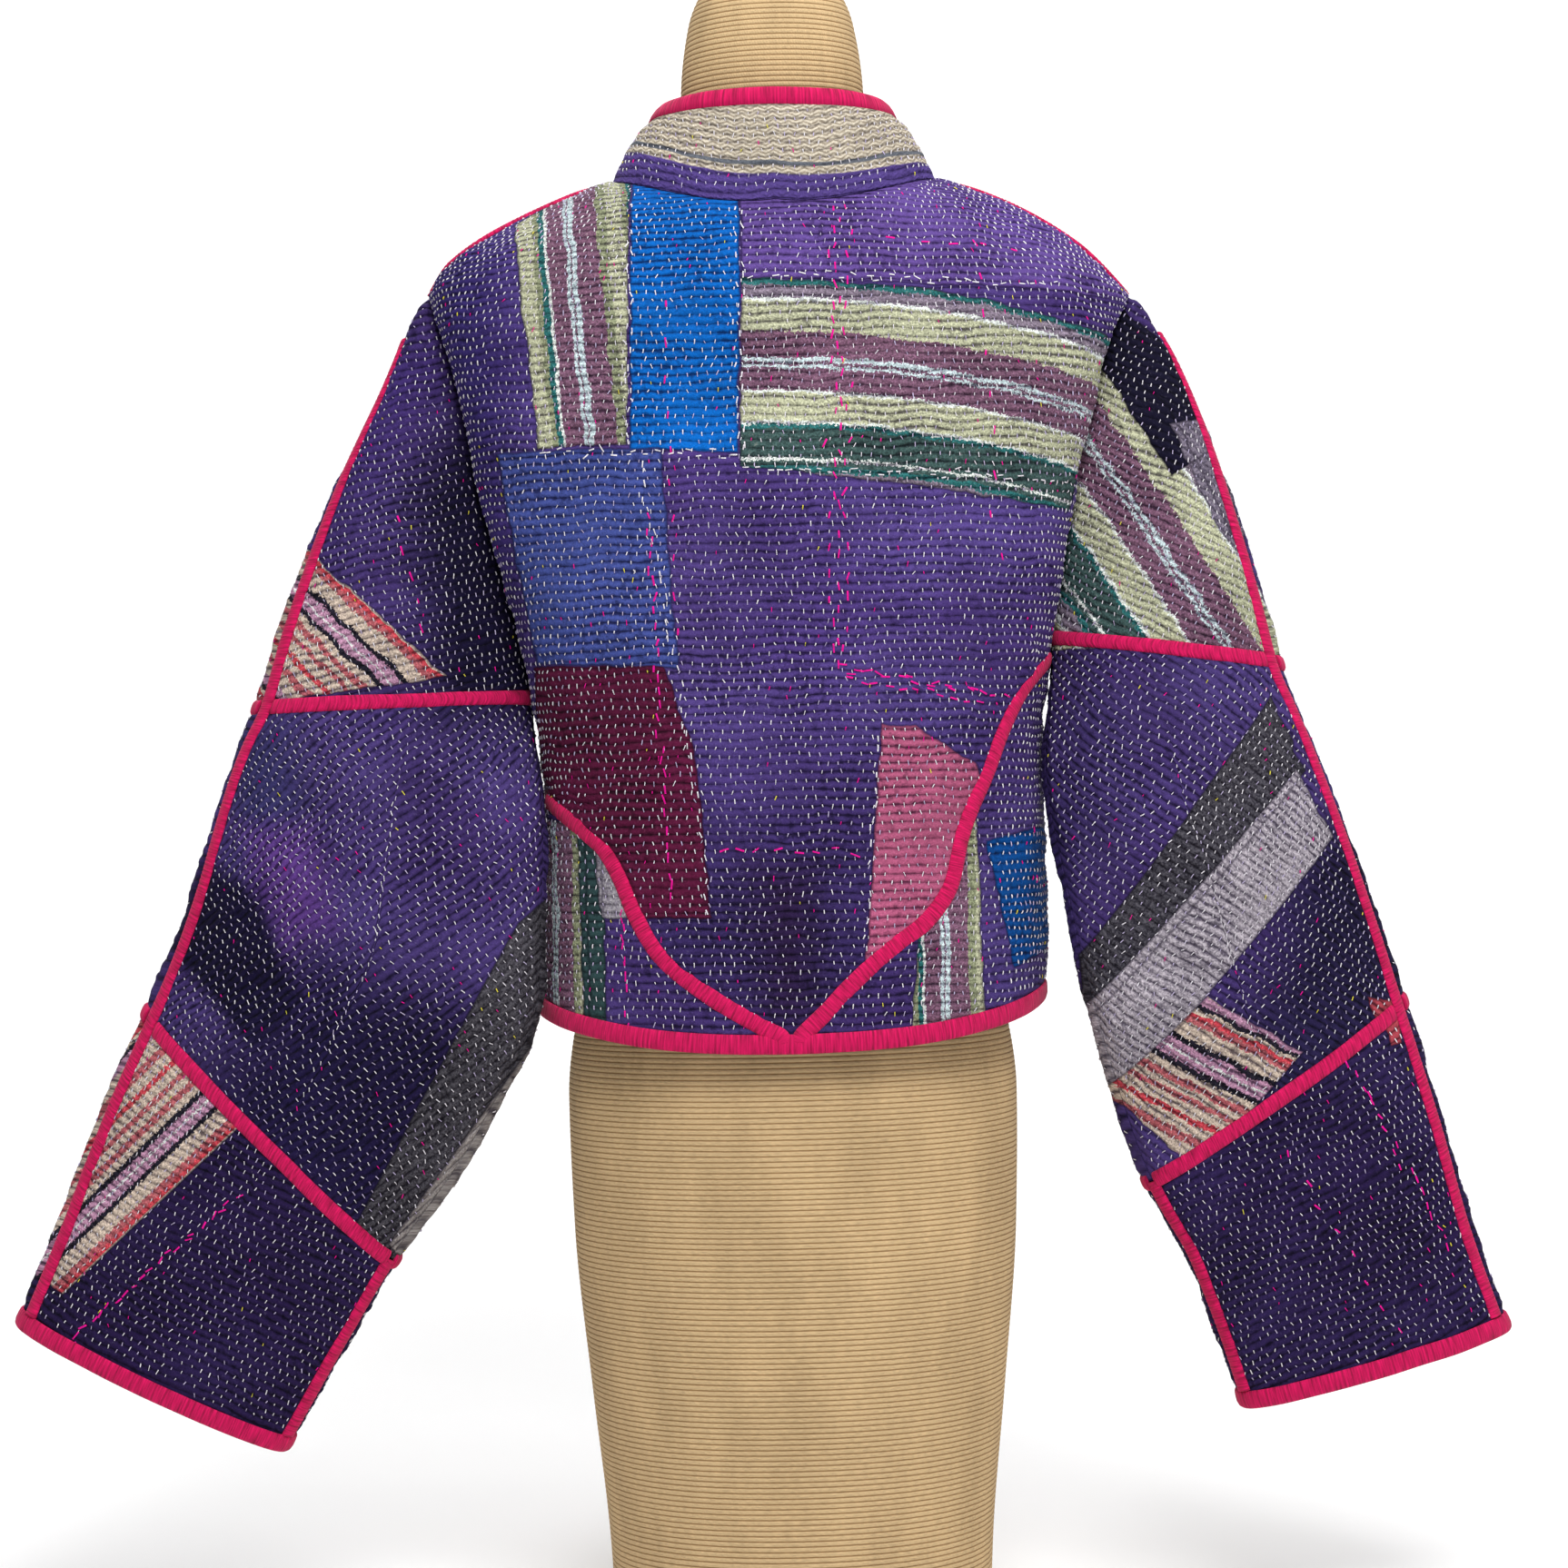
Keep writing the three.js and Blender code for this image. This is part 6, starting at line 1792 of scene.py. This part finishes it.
def build_bindings():
    """The folded bindings of the hem, the collar's top, the fronts and the cuffs."""
    tape = materials()["Tape Cloth"]
    order = ("front_panel_left", "side_panel_left", "back_panel", "side_panel_right",
             "front_panel_right")
    parts = [edge_of(name, "bottom") for name in order]
    hem, inside = (np.concatenate([p[k] for p in parts]) for k in (0, 1))
    steps = np.linalg.norm(np.diff(hem, axis=0), axis=1)
    kept = np.append(True, steps > 0.5)  # where two panels meet, one point is enough
    make_binding("hem_binding", hem[kept], inside[kept], tape, 201, trim=1)
    make_binding("collar_binding", *edge_of("collar", "top"), tape, 203, trim=BINDING_WIDTH / 2)
    for k, side in enumerate(SIDES):
        which = "first" if side == "left" else "last"
        body, collar = edge_of(f"front_panel_{side}", which), edge_of("collar", which)
        edge, inside = (np.concatenate([body[j], collar[j][1:]]) for j in (0, 1))
        make_binding(f"front_binding_{side}", edge, inside, tape, 205 + k, past=BINDING_WIDTH)
        back = edge_of(f"sleeve_{side}_lower_back", "bottom")
        front = edge_of(f"sleeve_{side}_lower_front", "bottom")
        edge, inside = (np.concatenate([back[j][:-1], front[j][:-1]]) for j in (0, 1))
        make_binding(f"cuff_binding_{side}", edge, inside, tape, 208 + k, closed=True)


def build_form():
    """The dress form: twine wound round it in a close coil, and left plain where the
    jacket hides it."""
    bottom, top = COVERED
    z = np.concatenate([np.arange(0, bottom, 0.8), np.arange(bottom, top, 6.0),
                        np.arange(top, FORM["z"][-1], 0.64)])
    columns = 48
    turn = np.arange(columns) / columns * 2 * math.pi
    wide, deep, y = (curve(FORM, "z", key)(z)[:, None] for key in ("wide", "deep", "y"))
    coil = z[:, None] / TWINE_PITCH - turn[None] / (2 * math.pi)
    coil = coil + 0.07 * noise(z[:, None] / 9 + 0 * turn, turn[None] * 1.2 + 0 * z[:, None], 91)
    rise = TWINE_HEIGHT * np.abs(np.sin(math.pi * coil)) ** 0.7 - TWINE_HEIGHT
    seen = (z < bottom) | (z > top)
    rise = np.where(seen[:, None], rise, -0.5)
    x = (wide + rise) * power(np.cos(turn), FORM_POWER)[None]
    y = y + (deep + rise) * power(np.sin(turn), FORM_POWER)[None]
    rings = np.stack([x, y, np.broadcast_to(z[:, None], x.shape)], -1)
    # The rounded cap over the neck's top, and the flat base.
    cap = np.linspace(0, 1, 13)[1:-1, None, None]
    dome = rings[-1][None] * [1, 1, 0] * (1 - cap)
    dome = dome + np.array([0, 0, 1]) * (z[-1] + (FORM_TOP - z[-1]) * (1 - (1 - cap) ** 2))
    rings = np.concatenate([rings, dome])
    count = len(rings)
    ids = np.arange(count * columns).reshape(count, columns)
    ids = np.concatenate([ids, ids[:, :1]], 1)
    vertices = np.concatenate([rings.reshape(-1, 3), [[0, 0, 0], [0, 0, FORM_TOP]]])
    last = count * columns
    foot = np.stack([ids[0, 1:], ids[0, :-1], np.full(columns, last)], -1)
    crown = np.stack([ids[-1, :-1], ids[-1, 1:], np.full(columns, last + 1)], -1)
    obj = new_object("dress_form_twine", vertices, [grid_faces(ids), foot, crown],
                     materials()["Jute Twine"], "twine")
    spiral = coil[-1][None] + cap[..., 0] * FORM["wide"][-1] / TWINE_PITCH
    levels = np.concatenate([coil, spiral])
    around = np.broadcast_to(turn * 100, levels.shape)
    uv = np.concatenate([np.stack([around, levels], -1).reshape(-1, 2), [[0, 0], [0, 0]]])
    add_uv(obj, uv * MM)
    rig.replaces(obj, "dress_form")


# The stage's sizes, in metres: the paper's floor, its bend and its wall.
FLOOR_END, BEND_START, BEND_RADIUS, WALL_TOP, HALF_STAGE = 3.4, -0.7, 0.9, 3.6, 3.2
WORLD_LIGHT = 0.42
# Soft lights: place, the place they are aimed at, size, and power in watts.
LIGHTS = {
    "key_light": ((-0.35, 1.75, 2.1), (0, 0, 0.66), (1.1, 0.8), 44),
    "fill_light": ((-1.8, 1.6, 1.0), (0, 0, 0.5), (1.6, 1.6), 7),
    "front_light": ((0.4, -1.35, 1.9), (0, 0, 0.6), (1.2, 0.8), 14),
    "paper_light": ((0, 0.6, 3.3), (0, -1.2, 0.6), (3.0, 0.8), 40),
}
CAMERA_PLACE, CAMERA_ROLL = (0.0015, 2.0, 0.519), math.radians(1.2)
CAMERA_LENS, CAMERA_SENSOR = 74.5, 36  # in mm


def stage_mesh():
    """A sheet of paper that runs under the form and bends up in front of its chest."""
    profile = [(FLOOR_END, 0), (BEND_START, 0)]
    profile += [(BEND_START - BEND_RADIUS * math.sin(a), BEND_RADIUS - BEND_RADIUS * math.cos(a))
                for a in np.linspace(0, math.pi / 2, 17)[1:]]
    profile += [(BEND_START - BEND_RADIUS, WALL_TOP)]
    vertices = [(x, y, z) for y, z in profile for x in (-HALF_STAGE, HALF_STAGE)]
    faces = [(2 * k, 2 * k + 1, 2 * k + 3, 2 * k + 2) for k in range(len(profile) - 1)]
    mesh = bpy.data.meshes.new("studio_sweep")
    mesh.from_pydata(vertices, [], faces)
    mesh.shade_smooth()
    mesh.materials.append(stage_material())
    sweep = bpy.data.objects.new("studio_sweep", mesh)
    bpy.context.scene.collection.objects.link(sweep)
    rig.stage(sweep)


def add_light(name, place, target, size, watts):
    """An oblong soft lamp."""
    light = bpy.data.lights.new(name, "AREA")
    light.shape, light.size, light.size_y = "RECTANGLE", size[0], size[1]
    light.energy = watts
    lamp = bpy.data.objects.new(name, light)
    bpy.context.scene.collection.objects.link(lamp)
    lamp.location = place
    aim(lamp, target)


def aim(obj, target):
    """Turns a lamp towards a place."""
    way = np.array(target, float) - np.array(obj.location)
    flat = math.hypot(way[0], way[1])
    obj.rotation_euler = (math.pi / 2 + math.atan2(way[2], flat), 0,
                          math.atan2(way[1], way[0]) - math.pi / 2)


def build_stage():
    """Pale sweep, soft lights and the camera behind the jacket's back."""
    stage_mesh()
    world = bpy.data.worlds.new("Studio World")
    world.use_nodes = True
    background = world.node_tree.nodes["Background"]
    background.inputs["Color"].default_value = (1, 1, 1, 1)
    background.inputs["Strength"].default_value = WORLD_LIGHT
    bpy.context.scene.world = world
    for name, (place, target, size, watts) in LIGHTS.items():
        add_light(name, place, target, size, watts)
    bpy.context.scene.view_settings.view_transform = "Standard"
    camera = bpy.data.cameras.new("camera")
    camera.lens, camera.sensor_width = CAMERA_LENS, CAMERA_SENSOR
    obj = bpy.data.objects.new("camera", camera)
    bpy.context.scene.collection.objects.link(obj)
    obj.location = CAMERA_PLACE
    obj.rotation_mode = "XYZ"
    obj.rotation_euler = (math.pi / 2, CAMERA_ROLL, math.pi)
    bpy.context.scene.camera = obj


# ------------------------------------------------------------ operators and panel
def make_operator(idname, label, doc, build):
    """An operator that runs one of the build functions."""
    def execute(self, context):
        try:
            build()
        except Exception as fault:
            self.report({"ERROR"}, str(fault))
            raise
        return {"FINISHED"}

    name = "KANTHA_OT_" + idname
    return type(name, (bpy.types.Operator,), {
        "bl_idname": "kantha." + idname, "bl_label": label, "__doc__": doc,
        "bl_options": {"REGISTER", "UNDO"}, "execute": execute})


OPERATORS = (
    make_operator("body", "Body Panels", "Build the back, front and side panels", build_body),
    make_operator("sleeves", "Sleeves", "Build the pieced sleeves", build_sleeves),
    make_operator("collar", "Collar", "Build the stand collar", build_collar),
    make_operator("tapes", "Seam Tapes", "Build the tapes over the seams", build_tapes),
    make_operator("bindings", "Bindings", "Bind the hem, cuffs, collar and front edges",
                  build_bindings),
    make_operator("dress_form", "Dress Form", "Build the twine-wound form", build_form),
    make_operator("stage", "Stage", "Add the backdrop, lights and camera", build_stage),
)


class KANTHA_PT_sidebar(bpy.types.Panel):
    """Lists the jacket's sizes, colours and build steps."""
    bl_idname = "KANTHA_PT_sidebar"
    bl_label = "Kantha Jacket"
    bl_space_type = "VIEW_3D"
    bl_region_type = "UI"
    bl_category = "Kantha Jacket"

    def draw(self, context):
        scene = context.scene
        for group in (scene.kantha_quilt, scene.kantha_colours):
            box = self.layout.box()
            for name in group.__annotations__:
                box.prop(group, name)
        for operator in OPERATORS:
            self.layout.operator(operator.bl_idname)


CLASSES = (QuiltSizes, QuiltColours, *OPERATORS, KANTHA_PT_sidebar)


def register():
    for each in CLASSES:
        bpy.utils.register_class(each)
    bpy.types.Scene.kantha_quilt = bpy.props.PointerProperty(type=QuiltSizes)
    bpy.types.Scene.kantha_colours = bpy.props.PointerProperty(type=QuiltColours)


def unregister():
    del bpy.types.Scene.kantha_colours
    del bpy.types.Scene.kantha_quilt
    for each in reversed(CLASSES):
        bpy.utils.unregister_class(each)


def main():
    register()
    for operator in OPERATORS:
        step = operator.bl_idname.split(".")[1]
        if getattr(bpy.ops.kantha, step)() != {"FINISHED"}:
            raise RuntimeError(f"{operator.bl_label} did not finish")
    as_lists = lambda box: [[float(v) for v in corner] for corner in box]
    with open("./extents.json", "w") as out:
        json.dump({"cad": as_lists(CAD_BOX), "visual": as_lists(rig.bounds())}, out, indent=1)


if __name__ == "__main__":
    main()
